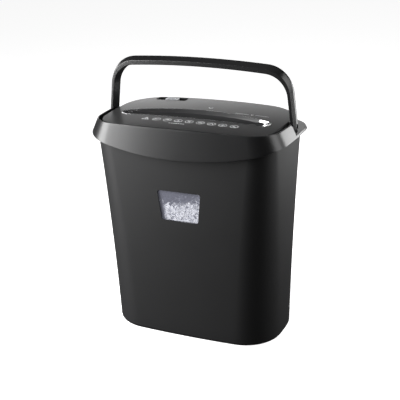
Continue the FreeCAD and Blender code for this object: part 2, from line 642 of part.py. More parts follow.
def cutter_gear(row):
    turn = 0.0 if row == "front" else tooth_gap_turn(CUTTER_TEETH, 180.0)
    return gear_x(*LAYER_A, shaft_y(row), SHAFT_Z, CUTTER_TEETH, CUTTER_MODULE, SHAFT_R, turn)


def drive_gear():
    gear = gear_x(*LAYER_B, REAR_SHAFT_Y, SHAFT_Z, DRIVE_TEETH, DRIVE_MODULE, SHAFT_R, IDLER_RISE)
    ring = tube_x(LAYER_B[0], LAYER_B[0] + 2, REAR_SHAFT_Y, SHAFT_Z, 21.0, 11.0)
    return gear.cut(ring).cut(tube_x(LAYER_B[1] - 2, LAYER_B[1], REAR_SHAFT_Y, SHAFT_Z, 21.0, 11.0))


def idler_gear():
    """Small gear towards the drive gear and large wheel towards the motor, in one piece."""
    bore = PIN_R + PIN_CLEARANCE
    turn = tooth_gap_turn(DRIVE_PINION_TEETH, 180.0 + IDLER_RISE)
    pinion = gear_x(*LAYER_B, IDLER_Y, IDLER_Z, DRIVE_PINION_TEETH, DRIVE_MODULE, bore, turn)
    wheel = gear_x(*LAYER_C, IDLER_Y, IDLER_Z, WHEEL_TEETH, WHEEL_MODULE, bore, -MOTOR_DROP)
    collar = tube_x(LAYER_C[1], LAYER_B[0], IDLER_Y, IDLER_Z, 5.8, bore)
    return pinion.fuse(collar).fuse(wheel).removeSplitter()


def idler_axle():
    shank = rod_x(LAYER_C[0] - 1.2, -PLATE_X, IDLER_Y, IDLER_Z, PIN_R)
    collar = tube_x(LAYER_B[1] + 0.4, -PLATE_X - PLATE_THICK, IDLER_Y, IDLER_Z, 6.0, PIN_R)
    return shank.fuse(collar)


def motor_pinion():
    turn = tooth_gap_turn(MOTOR_PINION_TEETH, 180.0 - MOTOR_DROP)
    return gear_x(*LAYER_C, MOTOR_Y, MOTOR_Z, MOTOR_PINION_TEETH, WHEEL_MODULE, MOTOR_SHAFT_R, turn)


# ---- motor ----
MOTOR_SHAFT_R = 3.0
STACK = (-85.0, -40.0)
STACK_R = 27.0
ARMATURE_R = 15.6
DRIVE_BRACKET_X = -100.0
REAR_BRACKET_X = -5.0
BRACKET_THICK = 3.0


def motor_stator():
    stack = tube_x(*STACK, MOTOR_Y, MOTOR_Z, STACK_R, ARMATURE_R + 0.6)
    for side in (-1, 1):
        y0, y1 = sorted((MOTOR_Y + side * 16.0, MOTOR_Y + side * 22.0))
        stack = stack.cut(box(STACK[0] - 1, STACK[1] + 1, y0, y1, MOTOR_Z - 8, MOTOR_Z + 8))
    return stack


def field_coils():
    coils = []
    for x0, x1 in ((STACK[0] - 9, STACK[0]), (STACK[1], STACK[1] + 9)):
        coils.append(tube_x(x0, x1, MOTOR_Y, MOTOR_Z, STACK_R - 3, STACK_R - 9))
    return Part.makeCompound(coils)


def armature_core():
    core = tube_x(STACK[0] + 1, STACK[1] - 1, MOTOR_Y, MOTOR_Z, ARMATURE_R, MOTOR_SHAFT_R)
    for k in range(12):
        a = 2 * math.pi * k / 12
        slot = box(STACK[0], STACK[1], -0.9, 0.9, ARMATURE_R - 5, ARMATURE_R + 1)
        slot.rotate(V(0, 0, 0), AXIS_X, math.degrees(a))
        slot.translate(V(0, MOTOR_Y, MOTOR_Z))
        core = core.cut(slot)
    return core


def armature_shaft():
    return rod_x(LAYER_C[0], REAR_BRACKET_X + 16, MOTOR_Y, MOTOR_Z, MOTOR_SHAFT_R)


def commutator():
    return tube_x(-27, -12, MOTOR_Y, MOTOR_Z, 9.0, MOTOR_SHAFT_R)


def motor_fan():
    x0 = REAR_BRACKET_X + 4
    fan = tube_x(x0, x0 + 9, MOTOR_Y, MOTOR_Z, 7.0, MOTOR_SHAFT_R)
    fan = fan.fuse(tube_x(x0, x0 + 1.5, MOTOR_Y, MOTOR_Z, 24.0, 6.5))
    for k in range(9):
        blade = box(x0 + 1, x0 + 9, -0.75, 0.75, 6.5, 24.0)
        blade.rotate(V(0, 0, 0), AXIS_X, 360.0 * k / 9)
        blade.translate(V(0, MOTOR_Y, MOTOR_Z))
        fan = fan.fuse(blade)
    return fan.removeSplitter()


def motor_bracket(x):
    plate = rod_x(x, x + BRACKET_THICK, MOTOR_Y, MOTOR_Z, 16.0)
    arm = box(x, x + BRACKET_THICK, -35, 35, -7, 7)
    arm.rotate(V(0, 0, 0), AXIS_X, 45)
    arm.translate(V(0, MOTOR_Y, MOTOR_Z))
    plate = plate.fuse(arm)
    plate = plate.cut(rod_x(x - 1, x + 5, MOTOR_Y, MOTOR_Z, MOTOR_SHAFT_R + PIN_CLEARANCE))
    for y, z in STANDOFFS:
        plate = plate.cut(rod_x(x - 1, x + 5, y, z, 2.0))
    return plate.removeSplitter()


def motor_standoffs():
    sleeves = []
    for y, z in STANDOFFS:
        sleeves.append(tube_x(-PLATE_X, DRIVE_BRACKET_X, y, z, 4.5, 2.0))
    return Part.makeCompound(sleeves)


def motor_bolts():
    bolts = []
    for y, z in STANDOFFS:
        left = -PLATE_X - PLATE_THICK
        shank = rod_x(left, REAR_BRACKET_X + BRACKET_THICK + 4, y, z, 2.0)
        bolts.append(shank.fuse(hex_x(left - 1.0, left, y, z, 3.0)))
    return Part.makeCompound(bolts)


def brush_holders():
    holders = []
    for side in (-1, 1):
        y0, y1 = sorted((MOTOR_Y + side * 9.6, MOTOR_Y + side * 22.0))
        holder = box(-24, -15, y0, y1, MOTOR_Z - 4.5, MOTOR_Z + 4.5)
        rail = box(-15, REAR_BRACKET_X, y0 + 2, y1 - 2, MOTOR_Z - 2, MOTOR_Z + 2)
        holders.append(holder.fuse(rail))
    return Part.makeCompound(holders)


# ---- controls ----
BOARD = dict(x0=30.0, x1=108.0, y0=22.0, y1=66.0, z=303.0, thick=1.6)


def control_board():
    b = BOARD
    board = box(b["x0"], b["x1"], b["y0"], b["y1"], b["z"], b["z"] + b["thick"])
    for x in (b["x0"] + 5, b["x1"] - 5):
        for y in (b["y0"] + 5, b["y1"] - 5):
            board = board.cut(rod(AXIS_Z, (x, y, b["z"] - 1), 4, 1.6))
    return board


def board_posts():
    b = BOARD
    low = HOUSING_FLOOR + HOUSING_WALL
    posts = []
    for x in (b["x0"] + 5, b["x1"] - 5):
        for y in (b["y0"] + 5, b["y1"] - 5):
            post = rod(AXIS_Z, (x, y, low), b["z"] - low, 3.5)
            posts.append(post.fuse(rod(AXIS_Z, (x, y, b["z"]), b["thick"] + 1, 1.6)))
    return Part.makeCompound(posts)


def on_board(x, y, width, depth, height, radius=1.0):
    z = BOARD["z"] + BOARD["thick"]
    return rounded_box(x - width / 2, x + width / 2, y - depth / 2, y + depth / 2, z, z + height, radius)


def relay_pair():
    return Part.makeCompound([on_board(x, 54.0, 15, 19, 16) for x in (50.0, 70.0)])


def film_capacitor():
    return on_board(90.0, 34.0, 26, 11, 18, 2.0)


def terminal_block():
    block = on_board(52.0, 33.0, 30, 10, 10)
    for i in range(5):
        x = 40.0 + 6 * i
        block = block.cut(rod(AXIS_Z, (x, 33.0, BOARD["z"]), 30, 1.6))
    return block


def thermal_cutout():
    z = MOTOR_Z + STACK_R
    body = rod(AXIS_Z, (-62, MOTOR_Y, z + 0.2), 5, 7.0)
    return body.fuse(box(-70, -54, MOTOR_Y - 2.5, MOTOR_Y + 2.5, z + 5.2, z + 6.4))


def interlock_switch():
    i = INTERLOCK
    body = box(i["x"] - 3, i["x"] + 3, i["y"] - i["half_y"], i["y"] + i["half_y"], i["low"], LEDGE_LOW)
    return body.cut(box(i["x"] - 1.7, i["x"] + 1.7, i["y"] - 1.7, i["y"] + 1.7, i["low"] - 1, i["low"] + 9))


def interlock_plunger():
    i = INTERLOCK
    return box(i["x"] - 1.4, i["x"] + 1.4, i["y"] - 1.4, i["y"] + 1.4, i["tab_top"] + 0.3, i["low"] + 5)


def mode_switch_base():
    s = SWITCH
    tray = switch_block(0.0, s["floor"], DECK_APEX).common(crowned(-0.4))
    return tray.cut(switch_block(1.5, s["floor"] + 2, DECK_APEX + 1))


def mode_switch_body():
    s = SWITCH
    return rounded_box(s["x"] - 14, s["x"] + 14, s["y"] - 8, s["y"] + 6, s["floor"] - 12, s["floor"], 1.0)


def mode_slider():
    """A low knob with five finger ribs."""
    s = SWITCH
    z = s["floor"] + 2.3
    knob = rounded_box(s["x"] - 12, s["x"] + 12, s["y"] - 7, s["y"] + 7, z, KNOB_TOP, 3.0)
    for i in range(5):
        x = s["x"] - 6 + 3 * i
        knob = knob.fuse(box(x - 0.6, x + 0.6, s["y"] - 5.5, s["y"] + 5.5, KNOB_TOP - 1, KNOB_TOP + 1))
    return knob.removeSplitter()


FLAP = dict(y=-14.0, z=364.0, gate=5.0, half=3.0)


def paper_flap():
    """The lever that the sheet pushes aside to start the motor."""
    f = FLAP
    hub = rod_x(-6.0, 6.0, f["y"], f["z"], 2.4)
    arm = box(-f["half"], f["half"], SLOT_FRONT + 0.6, f["y"], f["z"] - 0.8, f["z"] + 0.8)
    tail = box(-1.0, 1.0, f["y"], f["y"] + 8, f["z"] - 0.8, f["z"] + 0.8)
    return hub.fuse(arm).fuse(tail).cut(rod_x(-7, 7, f["y"], f["z"], 1.05)).removeSplitter()


def sensor_bracket():
    f = FLAP
    wall = SLOT_REAR + 3
    bracket = rod_x(-9.0, 9.0, f["y"], f["z"], 1.0)
    for side in (-1, 1):
        x0, x1 = sorted((side * 7.0, side * 9.0))
        bracket = bracket.fuse(box(x0, x1, wall, f["y"] + 3, f["z"] - 3, f["z"] + 3))
    return bracket


def sensor_eye():
    f = FLAP
    y0 = f["y"] + 4.5
    eye = box(-4, 4, y0, y0 + 10, f["z"] - 9, f["z"] + 3)
    eye = eye.fuse(box(-4, 4, y0 + 7, y0 + 10, f["z"], f["z"] + 9.1))
    return eye.cut(box(-2, 2, y0 - 1, y0 + 7, f["z"] - 6.5, f["z"] + 4))


def both_rows(name, maker):
    return {name + "_" + row: maker(row) for row in ("front", "rear")}


nodes = {
    "bin_shell": bin_shell(),
    "window_pane": window_pane(),
    "shred_heap": shred_heap(),
    "head_band": head_band(),
    "deck_cover": deck_cover(),
    "throat_bezel": throat_bezel(),
    "feed_throat": feed_throat(),
    "lower_housing": lower_housing(),
    "housing_screws": housing_screws(),
    "cord_gland": cord_gland(),
    "handle_arch": handle_arch(),
    "handle_pins": handle_pins(),
    "side_plate_left": side_plate(-1),
    "side_plate_right": side_plate(1),
    "tie_rods": tie_rods(),
    "tie_rod_nuts": tie_rod_nuts(),
    "shaft_bushes": shaft_bushes(),
    "drive_gear": drive_gear(),
    "idler_gear": idler_gear(),
    "idler_axle": idler_axle(),
    "motor_pinion": motor_pinion(),
    "motor_stator": motor_stator(),
    "field_coils": field_coils(),
    "armature_core": armature_core(),
    "armature_shaft": armature_shaft(),
    "commutator": commutator(),
    "motor_fan": motor_fan(),
    "motor_bracket_drive": motor_bracket(DRIVE_BRACKET_X),
    "motor_bracket_rear": motor_bracket(REAR_BRACKET_X),
    "motor_standoffs": motor_standoffs(),
    "motor_bolts": motor_bolts(),
    "brush_holders": brush_holders(),
    "control_board": control_board(),
    "board_posts": board_posts(),
    "relay_pair": relay_pair(),
    "film_capacitor": film_capacitor(),
    "terminal_block": terminal_block(),
    "thermal_cutout": thermal_cutout(),
    "interlock_switch": interlock_switch(),
    "interlock_plunger": interlock_plunger(),
    "mode_switch_base": mode_switch_base(),
    "mode_switch_body": mode_switch_body(),
    "mode_slider": mode_slider(),
    "paper_flap": paper_flap(),
    "sensor_bracket": sensor_bracket(),
    "sensor_eye": sensor_eye(),
}
nodes.update(both_rows("cutter_shaft", cutter_shaft))
nodes.update(both_rows("cutter_discs", cutter_discs))
nodes.update(both_rows("cutter_spacers", cutter_spacers))
nodes.update(both_rows("cutter_gear", cutter_gear))
nodes.update(both_rows("circlip", circlip))
nodes.update(both_rows("stripper", stripper))

os.makedirs("parts", exist_ok=True)
for name, shape in nodes.items():
    if not shape.isValid():
        print("not valid:", name)
    shape.exportStep("parts/" + name + ".step")
print(len(nodes), "nodes written")
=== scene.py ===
import json
import math

import bpy
import bmesh
from mathutils import Matrix, Vector, noise


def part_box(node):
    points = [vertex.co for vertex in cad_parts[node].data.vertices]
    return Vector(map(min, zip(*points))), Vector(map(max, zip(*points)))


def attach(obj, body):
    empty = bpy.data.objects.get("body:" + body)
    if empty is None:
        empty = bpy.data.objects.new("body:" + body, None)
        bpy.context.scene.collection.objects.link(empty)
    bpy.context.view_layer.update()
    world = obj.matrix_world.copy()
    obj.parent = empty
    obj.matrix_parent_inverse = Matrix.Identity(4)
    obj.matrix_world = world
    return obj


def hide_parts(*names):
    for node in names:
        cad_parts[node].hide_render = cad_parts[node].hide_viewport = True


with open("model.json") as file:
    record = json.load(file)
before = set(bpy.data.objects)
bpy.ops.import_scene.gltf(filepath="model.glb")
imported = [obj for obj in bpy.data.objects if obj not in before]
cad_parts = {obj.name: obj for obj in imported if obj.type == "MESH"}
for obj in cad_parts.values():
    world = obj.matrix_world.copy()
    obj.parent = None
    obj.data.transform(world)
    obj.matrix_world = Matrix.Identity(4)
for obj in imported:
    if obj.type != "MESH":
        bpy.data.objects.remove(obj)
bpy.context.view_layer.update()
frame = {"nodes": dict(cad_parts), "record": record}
print("frame loaded:", len(frame["nodes"]), "CAD pieces")

mm = 0.001
quarter = math.pi / 2
broadFaceWeight = 60               # how far the broad faces outweigh the narrow ones in the shading


cameraValues = {
    "place": (0.6317, -1.3931, 0.8001),
    "right": (0.9147, 0.4033, -0.0265),     # right and up as the camera sees them, with a slight roll
    "up": (-0.1248, 0.3442, 0.9305),
    "lens": 83.4,
    "shiftX": -0.0048,
    "shiftY": 0.0396,
    "sensor": 36.0,
    "nearClip": 0.05,
}


def makeCamera(v):
    data = bpy.data.cameras.new("studioCamera")
    data.lens = v["lens"]
    data.sensor_width = v["sensor"]
    data.shift_x = v["shiftX"]
    data.shift_y = v["shiftY"]
    data.clip_start = v["nearClip"]
    obj = bpy.data.objects.new("studioCamera", data)
    right = Vector(v["right"]).normalized()
    up = Vector(v["up"])
    up = (up - right * up.dot(right)).normalized()
    back = right.cross(up)
    turn = Matrix((right, up, back)).transposed()
    obj.matrix_world = Matrix.Translation(v["place"]) @ turn.to_4x4()
    bpy.context.scene.collection.objects.link(obj)
    bpy.context.scene.camera = obj


makeCamera(cameraValues)


studioValues = {
    "floorHalf": 12.0,
    "floorColour": (0.85, 0.85, 0.85),
    "floorGlow": 0.90,
    "floorRoughness": 0.9,
    "floorSpecular": 0.1,
    "worldColour": (1.0, 1.0, 1.0),
    "worldStrength": 0.03,
    # place, aim, width, height, power
    "lights": {
        "keyLeft": ((-1.00, -0.70, 0.78), (0.0, 0.0, 0.50), 0.80, 1.40, 50.0),
        "lowLeft": ((-1.02, -0.92, 0.16), (0.0, 0.0, 0.40), 0.40, 0.36, 3.2),
        "panelRight": ((1.20, 0.15, 0.75), (0.0, 0.0, 0.35), 0.60, 1.50, 10.0),
        "panelBack": ((0.85, 1.05, 0.34), (0.10, 0.0, 0.20), 0.70, 0.64, 9.0),
        "panelRear": ((-0.45, 1.10, 0.51), (0.0, 0.0, 0.40), 1.60, 0.36, 4.0),
        "topSoft": ((0.0, 0.3, 2.2), (0.0, 0.0, 0.2), 1.6, 1.2, 1.0),
    },
}


def makeStudio(v):
    half = v["floorHalf"]
    mesh = bpy.data.meshes.new("studioFloor")
    corners = [(-half, -half, 0), (half, -half, 0), (half, half, 0), (-half, half, 0)]
    mesh.from_pydata(corners, [], [(0, 1, 2, 3)])
    floor = bpy.data.objects.new("studioFloor", mesh)
    bpy.context.scene.collection.objects.link(floor)
    paint = bpy.data.materials.new("floorPaint")
    paint.use_nodes = True
    shader = paint.node_tree.nodes["Principled BSDF"]
    shader.inputs["Base Color"].default_value = (*v["floorColour"], 1)
    shader.inputs["Roughness"].default_value = v["floorRoughness"]
    shader.inputs["Specular IOR Level"].default_value = v["floorSpecular"]
    shader.inputs["Emission Color"].default_value = (1, 1, 1, 1)
    shader.inputs["Emission Strength"].default_value = v["floorGlow"]
    mesh.materials.append(paint)
    floor.visible_glossy = False
    floor.visible_diffuse = False
    for name, (place, aim, width, height, power) in v["lights"].items():
        lamp = bpy.data.lights.new(name, "AREA")
        lamp.shape = "RECTANGLE"
        lamp.size = width
        lamp.size_y = height
        lamp.energy = power
        obj = bpy.data.objects.new(name, lamp)
        aimAt = (Vector(aim) - Vector(place)).to_track_quat("-Z", "Y")
        obj.matrix_world = Matrix.Translation(place) @ aimAt.to_matrix().to_4x4()
        obj.visible_camera = False
        bpy.context.scene.collection.objects.link(obj)
    world = bpy.data.worlds.new("studioWorld")
    bpy.context.scene.world = world
    world.use_nodes = True
    sky = world.node_tree.nodes["Background"]
    sky.inputs["Color"].default_value = (*v["worldColour"], 1)
    sky.inputs["Strength"].default_value = v["worldStrength"]
    bpy.context.scene.view_settings.view_transform = "Standard"


makeStudio(studioValues)
print("camera, floor and lights made")


def linkMesh(name, verts, faces, smoothAngle=35.0):
    mesh = bpy.data.meshes.new(name)
    mesh.from_pydata([tuple(p) for p in verts], [], faces)
    obj = bpy.data.objects.new(name, mesh)
    bpy.context.scene.collection.objects.link(obj)
    tidyMesh(obj, smoothAngle)
    return obj


def tidyMesh(obj, smoothAngle=35.0, recalc=True):
    bm = bmesh.new()
    bm.from_mesh(obj.data)
    bmesh.ops.remove_doubles(bm, verts=bm.verts, dist=1e-6)
    if recalc:
        bmesh.ops.recalc_face_normals(bm, faces=bm.faces)
    for face in bm.faces:
        face.smooth = True
    limit = math.radians(smoothAngle)
    for edge in bm.edges:
        edge.smooth = len(edge.link_faces) == 2 and edge.calc_face_angle(0) < limit
    bm.to_mesh(obj.data)
    bm.free()


def evaluatedMesh(obj):
    bpy.context.view_layer.update()
    view = bpy.context.evaluated_depsgraph_get()
    return bpy.data.meshes.new_from_object(obj.evaluated_get(view))


def applyModifiers(obj):
    mesh = evaluatedMesh(obj)
    obj.modifiers.clear()
    obj.data = mesh


def bakeModifiers(obj):
    applyModifiers(obj)
    tidyMesh(obj, recalc=False)


def evenNormals(obj):
    # lets the broad faces set the normals, so that narrow edges don't bend their shading
    even = obj.modifiers.new("normals", "WEIGHTED_NORMAL")
    even.mode = "FACE_AREA"
    even.weight = broadFaceWeight
    even.keep_sharp = True
    applyModifiers(obj)
    return obj


def dropObject(obj):
    bpy.data.objects.remove(obj, do_unlink=True)


def cutAway(obj, tool):
    cut = obj.modifiers.new("cut", "BOOLEAN")
    cut.operation = "DIFFERENCE"
    cut.solver = "EXACT"
    cut.object = tool
    bakeModifiers(obj)
    dropObject(tool)


def softenEdges(obj, width, angle=50.0):
    bevel = obj.modifiers.new("edges", "BEVEL")
    bevel.width = width
    bevel.segments = 2
    bevel.limit_method = "ANGLE"
    bevel.angle_limit = math.radians(angle)
    bevel.harden_normals = False
    bevel.use_clamp_overlap = True
    bakeModifiers(obj)


def joinObjects(name, parts):
    verts = []
    faces = []
    for part in parts:
        start = len(verts)
        verts += [v.co.copy() for v in part.data.vertices]
        faces += [[i + start for i in p.vertices] for p in part.data.polygons]
        dropObject(part)
    return linkMesh(name, verts, faces)


def skin(rings, caps=True, loop=False):
    # faces that join rings of equal length, as a tube
    count = len(rings[0])
    verts = [p for ring in rings for p in ring]
    faces = []
    rows = len(rings) if loop else len(rings) - 1
    for r in range(rows):
        a = r * count
        b = ((r + 1) % len(rings)) * count
        for i in range(count):
            j = (i + 1) % count
            faces.append((a + i, a + j, b + j, b + i))
    if caps and not loop:
        faces.append(tuple(range(count))[::-1])
        faces.append(tuple(range((len(rings) - 1) * count, len(rings) * count)))
    return verts, faces


def arcPoints(cx, cy, radius, start, end, steps, last=False):
    # points on an arc, angles in radians, without its last point unless asked
    number = steps + (1 if last else 0)
    angles = [start + (end - start) * i / steps for i in range(number)]
    return [(cx + radius * math.cos(a), cy + radius * math.sin(a)) for a in angles]


def circleMeet(c1, r1, c2, r2, side):
    gap = c2 - c1
    along = (r1 * r1 - r2 * r2 + gap.length_squared) / (2 * gap.length)
    off = math.sqrt(r1 * r1 - along * along)
    unit = gap.normalized()
    both = [c1 + unit * along + Vector((s * unit.y, -s * unit.x)) * off for s in (1, -1)]
    return max(both, key=lambda p: p.dot(side))


def planOf(*sizes):
    # half width, front, rear, bow of the ends and of the sides, front and rear corners, in millimetres
    names = ("half", "front", "rear", "bowX", "bowY", "rFront", "rRear")
    return {name: size * mm for name, size in zip(names, sizes)}


def planOutline(plan, inset=0.0, steps=(12, 14, 12)):
    # a rounded rectangle with bowed sides, from the middle of the front towards +X and round
    sideR = (plan["front"] ** 2 + plan["bowX"] ** 2) / (2 * plan["bowX"])
    endR = (plan["half"] ** 2 + plan["bowY"] ** 2) / (2 * plan["bowY"])
    side = Vector((plan["half"] - sideR, 0))
    centres = []
    for sign, depth, radius in ((-1, plan["front"], plan["rFront"]), (1, plan["rear"], plan["rRear"])):
        end = Vector((0, sign * (depth - endR)))
        corner = circleMeet(end, endR - radius, side, sideR - radius, Vector((1, sign)))
        toEnd = math.atan2(*(corner - end).yx)
        toSide = math.atan2(*(corner - side).yx)
        centres.append((end, corner, toEnd, toSide, radius))
    (end1, corner1, toEnd1, toSide1, r1), (end2, corner2, toEnd2, toSide2, r2) = centres
    half = arcPoints(*end1, endR - inset, -quarter, toEnd1, steps[0])
    half += arcPoints(*corner1, r1 - inset, toEnd1, toSide1, steps[1])
    half += arcPoints(*side, sideR - inset, toSide1, toSide2, steps[2])
    half += arcPoints(*corner2, r2 - inset, toSide2, toEnd2, steps[1])
    half += arcPoints(*end2, endR - inset, toEnd2, quarter, steps[0], last=True)
    return half + [(-x, y) for x, y in half[-2:0:-1]]


def boxOutline(x0, x1, y0, y1, radius, steps=6):
    points = []
    for k, (cx, cy) in enumerate(((x1 - radius, y0 + radius), (x1 - radius, y1 - radius),
                                  (x0 + radius, y1 - radius), (x0 + radius, y0 + radius))):
        points += arcPoints(cx, cy, radius, (k - 1) * quarter, k * quarter, steps, last=True)
    return points


def atHeight(outline, z):
    return [Vector((x, y, z)) for x, y in outline]


def blockTool(outline, z0, z1):
    return linkMesh("tool", *skin([atHeight(outline, z0), atHeight(outline, z1)]))


def boxTool(x0, x1, y0, y1, z0, z1):
    corners = [(x0, y0), (x1, y0), (x1, y1), (x0, y1)]
    return blockTool(corners, z0, z1)


def rodTool(x0, x1, y, z, radius, steps=40):
    ring = arcPoints(y, z, radius, 0, 2 * math.pi, steps)
    return linkMesh("tool", *skin([[Vector((x, a, b)) for a, b in ring] for x in (x0, x1)]))


def newGroup(name, inputs):
    tree = bpy.data.node_groups.new(name, "ShaderNodeTree")
    for label, value in inputs.items():
        kind = "NodeSocketColor" if isinstance(value, tuple) else "NodeSocketFloat"
        tree.interface.new_socket(label, in_out="INPUT", socket_type=kind).default_value = value
    for label, kind in (("Colour", "Color"), ("Roughness", "Float"), ("Normal", "Vector")):
        tree.interface.new_socket(label, in_out="OUTPUT", socket_type="NodeSocket" + kind)
    return tree, tree.nodes.new("NodeGroupInput"), tree.nodes.new("NodeGroupOutput")


def addNode(tree, kind, values=None, **settings):
    node = tree.nodes.new(kind)
    for key, value in settings.items():
        setattr(node, key, value)
    for key, value in (values or {}).items():
        node.inputs[key].default_value = value
    return node


def wire(tree, *pairs):
    for source, target in pairs:
        tree.links.new(source, target)


def addMath(tree, operation, a, b=None):
    node = tree.nodes.new("ShaderNodeMath")
    node.operation = operation
    for slotIndex, value in enumerate((a, b)):
        if value is None:
            continue
        if isinstance(value, (int, float)):
            node.inputs[slotIndex].default_value = value
        else:
            tree.links.new(value, node.inputs[slotIndex])
    return node.outputs[0]


def addMix(tree, factor, colourA, colourB):
    node = tree.nodes.new("ShaderNodeMix")
    node.data_type = "RGBA"
    for socket, value in ((node.inputs[0], factor), (node.inputs[6], colourA), (node.inputs[7], colourB)):
        if isinstance(value, (int, float, tuple)):
            socket.default_value = value
        else:
            tree.links.new(value, socket)
    return node.outputs[2]


def closeGroup(tree, ends, gain, rough, bump):
    # the base colour times a gain, with the roughness and the bump, goes out of the group
    inp, out = ends
    colour = addNode(tree, "ShaderNodeVectorMath", operation="SCALE")
    wire(tree, (inp.outputs["Base"], colour.inputs[0]), (gain, colour.inputs["Scale"]),
         (colour.outputs[0], out.inputs["Colour"]), (rough, out.inputs["Roughness"]),
         (bump.outputs[0], out.inputs["Normal"]))
    return tree


def makeGrainGroup():
    # spark-eroded grain of a moulded surface, with soft patches of more and less gloss
    tree, inp, out = newGroup(
        "mouldedGrain",
        {"Grain Size": 900.0, "Grain Depth": 0.2, "Patch Size": 9.0, "Patch Share": 0.5,
         "Base": (0.02, 0.02, 0.02, 1), "Roughness": 0.4})
    place = tree.nodes.new("ShaderNodeTexCoord")
    grain = addNode(tree, "ShaderNodeTexNoise", {"Detail": 4.0, "Roughness": 0.7})
    pits = addNode(tree, "ShaderNodeTexVoronoi")
    height = addMath(tree, "MULTIPLY_ADD", grain.outputs[0], 0.7)
    bump = addNode(tree, "ShaderNodeBump", {"Distance": 0.0002})
    patch = addNode(tree, "ShaderNodeTexNoise", {"Detail": 5.0, "Roughness": 0.6})
    for texture, label in ((grain, "Grain Size"), (pits, "Grain Size"), (patch, "Patch Size")):
        wire(tree, (place.outputs["Object"], texture.inputs["Vector"]),
             (inp.outputs[label], texture.inputs["Scale"]))
    wire(tree, (pits.outputs["Distance"], height.node.inputs[2]),
         (inp.outputs["Grain Depth"], bump.inputs["Strength"]), (height, bump.inputs["Height"]))
    swing = addMath(tree, "SUBTRACT", patch.outputs[0], 0.5)
    swing = addMath(tree, "MULTIPLY", swing, inp.outputs["Patch Share"])
    rough = addMath(tree, "ADD", inp.outputs["Roughness"], addMath(tree, "MULTIPLY", swing, 0.35))
    gain = addMath(tree, "ADD", addMath(tree, "MULTIPLY", swing, 0.5), 1.0)
    return closeGroup(tree, (inp, out), gain, rough, bump)


def makeBrushGroup():
    # fine drawn lines of worked metal along X, with a little staining
    tree, inp, out = newGroup(
        "drawnLines",
        {"Line Size": 400.0, "Line Depth": 0.15, "Stain": 0.2, "Base": (0.6, 0.6, 0.6, 1), "Roughness": 0.3})
    place = tree.nodes.new("ShaderNodeTexCoord")
    stretch = addNode(tree, "ShaderNodeMapping", {"Scale": (0.04, 1, 1)})
    lines = addNode(tree, "ShaderNodeTexNoise", {"Detail": 3.0})
    bump = addNode(tree, "ShaderNodeBump", {"Distance": 0.0002})
    stain = addNode(tree, "ShaderNodeTexNoise", {"Scale": 40.0, "Detail": 6.0})
    wire(tree, (place.outputs["Object"], stretch.inputs["Vector"]),
         (stretch.outputs[0], lines.inputs["Vector"]), (inp.outputs["Line Size"], lines.inputs["Scale"]),
         (inp.outputs["Line Depth"], bump.inputs["Strength"]), (lines.outputs[0], bump.inputs["Height"]),
         (place.outputs["Object"], stain.inputs["Vector"]))
    share = addMath(tree, "MULTIPLY", stain.outputs[0], inp.outputs["Stain"])
    keep = addMath(tree, "SUBTRACT", 1.0, share)
    rough = addMath(tree, "ADD", inp.outputs["Roughness"], addMath(tree, "MULTIPLY", lines.outputs[0], 0.12))
    return closeGroup(tree, (inp, out), keep, rough, bump)


grainGroup = makeGrainGroup()
brushGroup = makeBrushGroup()


def newMaterial(name, group, groupValues, shaderValues):
    paint = bpy.data.materials.new(name)
    paint.use_nodes = True
    tree = paint.node_tree
    shader = tree.nodes["Principled BSDF"]
    for key, value in shaderValues.items():
        shader.inputs[key].default_value = value
    effect = addNode(tree, "ShaderNodeGroup", groupValues, node_tree=group)
    wire(tree, (effect.outputs["Colour"], shader.inputs["Base Color"]),
         (effect.outputs["Roughness"], shader.inputs["Roughness"]),
         (effect.outputs["Normal"], shader.inputs["Normal"]))
    return paint


def moulded(name, colour, roughness, grain=(900.0, 0.2), patch=(9.0, 0.4), **shaderValues):
    values = {"Base": (*colour, 1), "Roughness": roughness, "Grain Size": grain[0], "Grain Depth": grain[1],
              "Patch Size": patch[0], "Patch Share": patch[1]}
    return newMaterial(name, grainGroup, values, shaderValues)


def worked(name, colour, roughness, lines=(400.0, 0.15), stain=0.2, **shaderValues):
    values = {"Base": (*colour, 1), "Roughness": roughness, "Line Size": lines[0], "Line Depth": lines[1],
              "Stain": stain}
    return newMaterial(name, brushGroup, values, {"Metallic": 1.0, **shaderValues})


def layered(paint, wave, colours):
    # bands or windings: the wave's two colours take the place of the base colour
    tree = paint.node_tree
    shader = tree.nodes["Principled BSDF"]
    place = tree.nodes.new("ShaderNodeTexCoord")
    bands = addNode(tree, "ShaderNodeTexWave", {"Scale": wave, "Distortion": 0.4, "Detail": 1.0})
    mixed = addMix(tree, bands.outputs["Fac"], (*colours[0], 1), (*colours[1], 1))
    bump = addNode(tree, "ShaderNodeBump", {"Distance": 0.0003, "Strength": 0.6})
    wire(tree, (place.outputs["Object"], bands.inputs["Vector"]), (mixed, shader.inputs["Base Color"]),
         (bands.outputs["Fac"], bump.inputs["Height"]), (bump.outputs[0], shader.inputs["Normal"]))
    return paint


def boardPaint():
    # green solder mask with copper traces under it
    paint = moulded("boardPaint", (0.03, 0.2, 0.07), 0.35, grain=(600, 0.1))
    tree = paint.node_tree
    shader = tree.nodes["Principled BSDF"]
    place = tree.nodes.new("ShaderNodeTexCoord")
    traces = addNode(tree, "ShaderNodeTexBrick",
                     {"Scale": 90.0, "Mortar Size": 0.06, "Color1": (0.02, 0.13, 0.05, 1),
                      "Color2": (0.03, 0.18, 0.07, 1), "Mortar": (0.08, 0.34, 0.13, 1)}, offset=0.3)
    wire(tree, (place.outputs["Object"], traces.inputs["Vector"]),
         (traces.outputs["Color"], shader.inputs["Base Color"]))
    return paint


def paperPaint():
    paint = moulded("paperPaint", (0.86, 0.87, 0.9), 0.8, grain=(700, 0.35), patch=(60.0, 0.25))
    paint.node_tree.nodes["Principled BSDF"].inputs["Specular IOR Level"].default_value = 0.2
    return paint


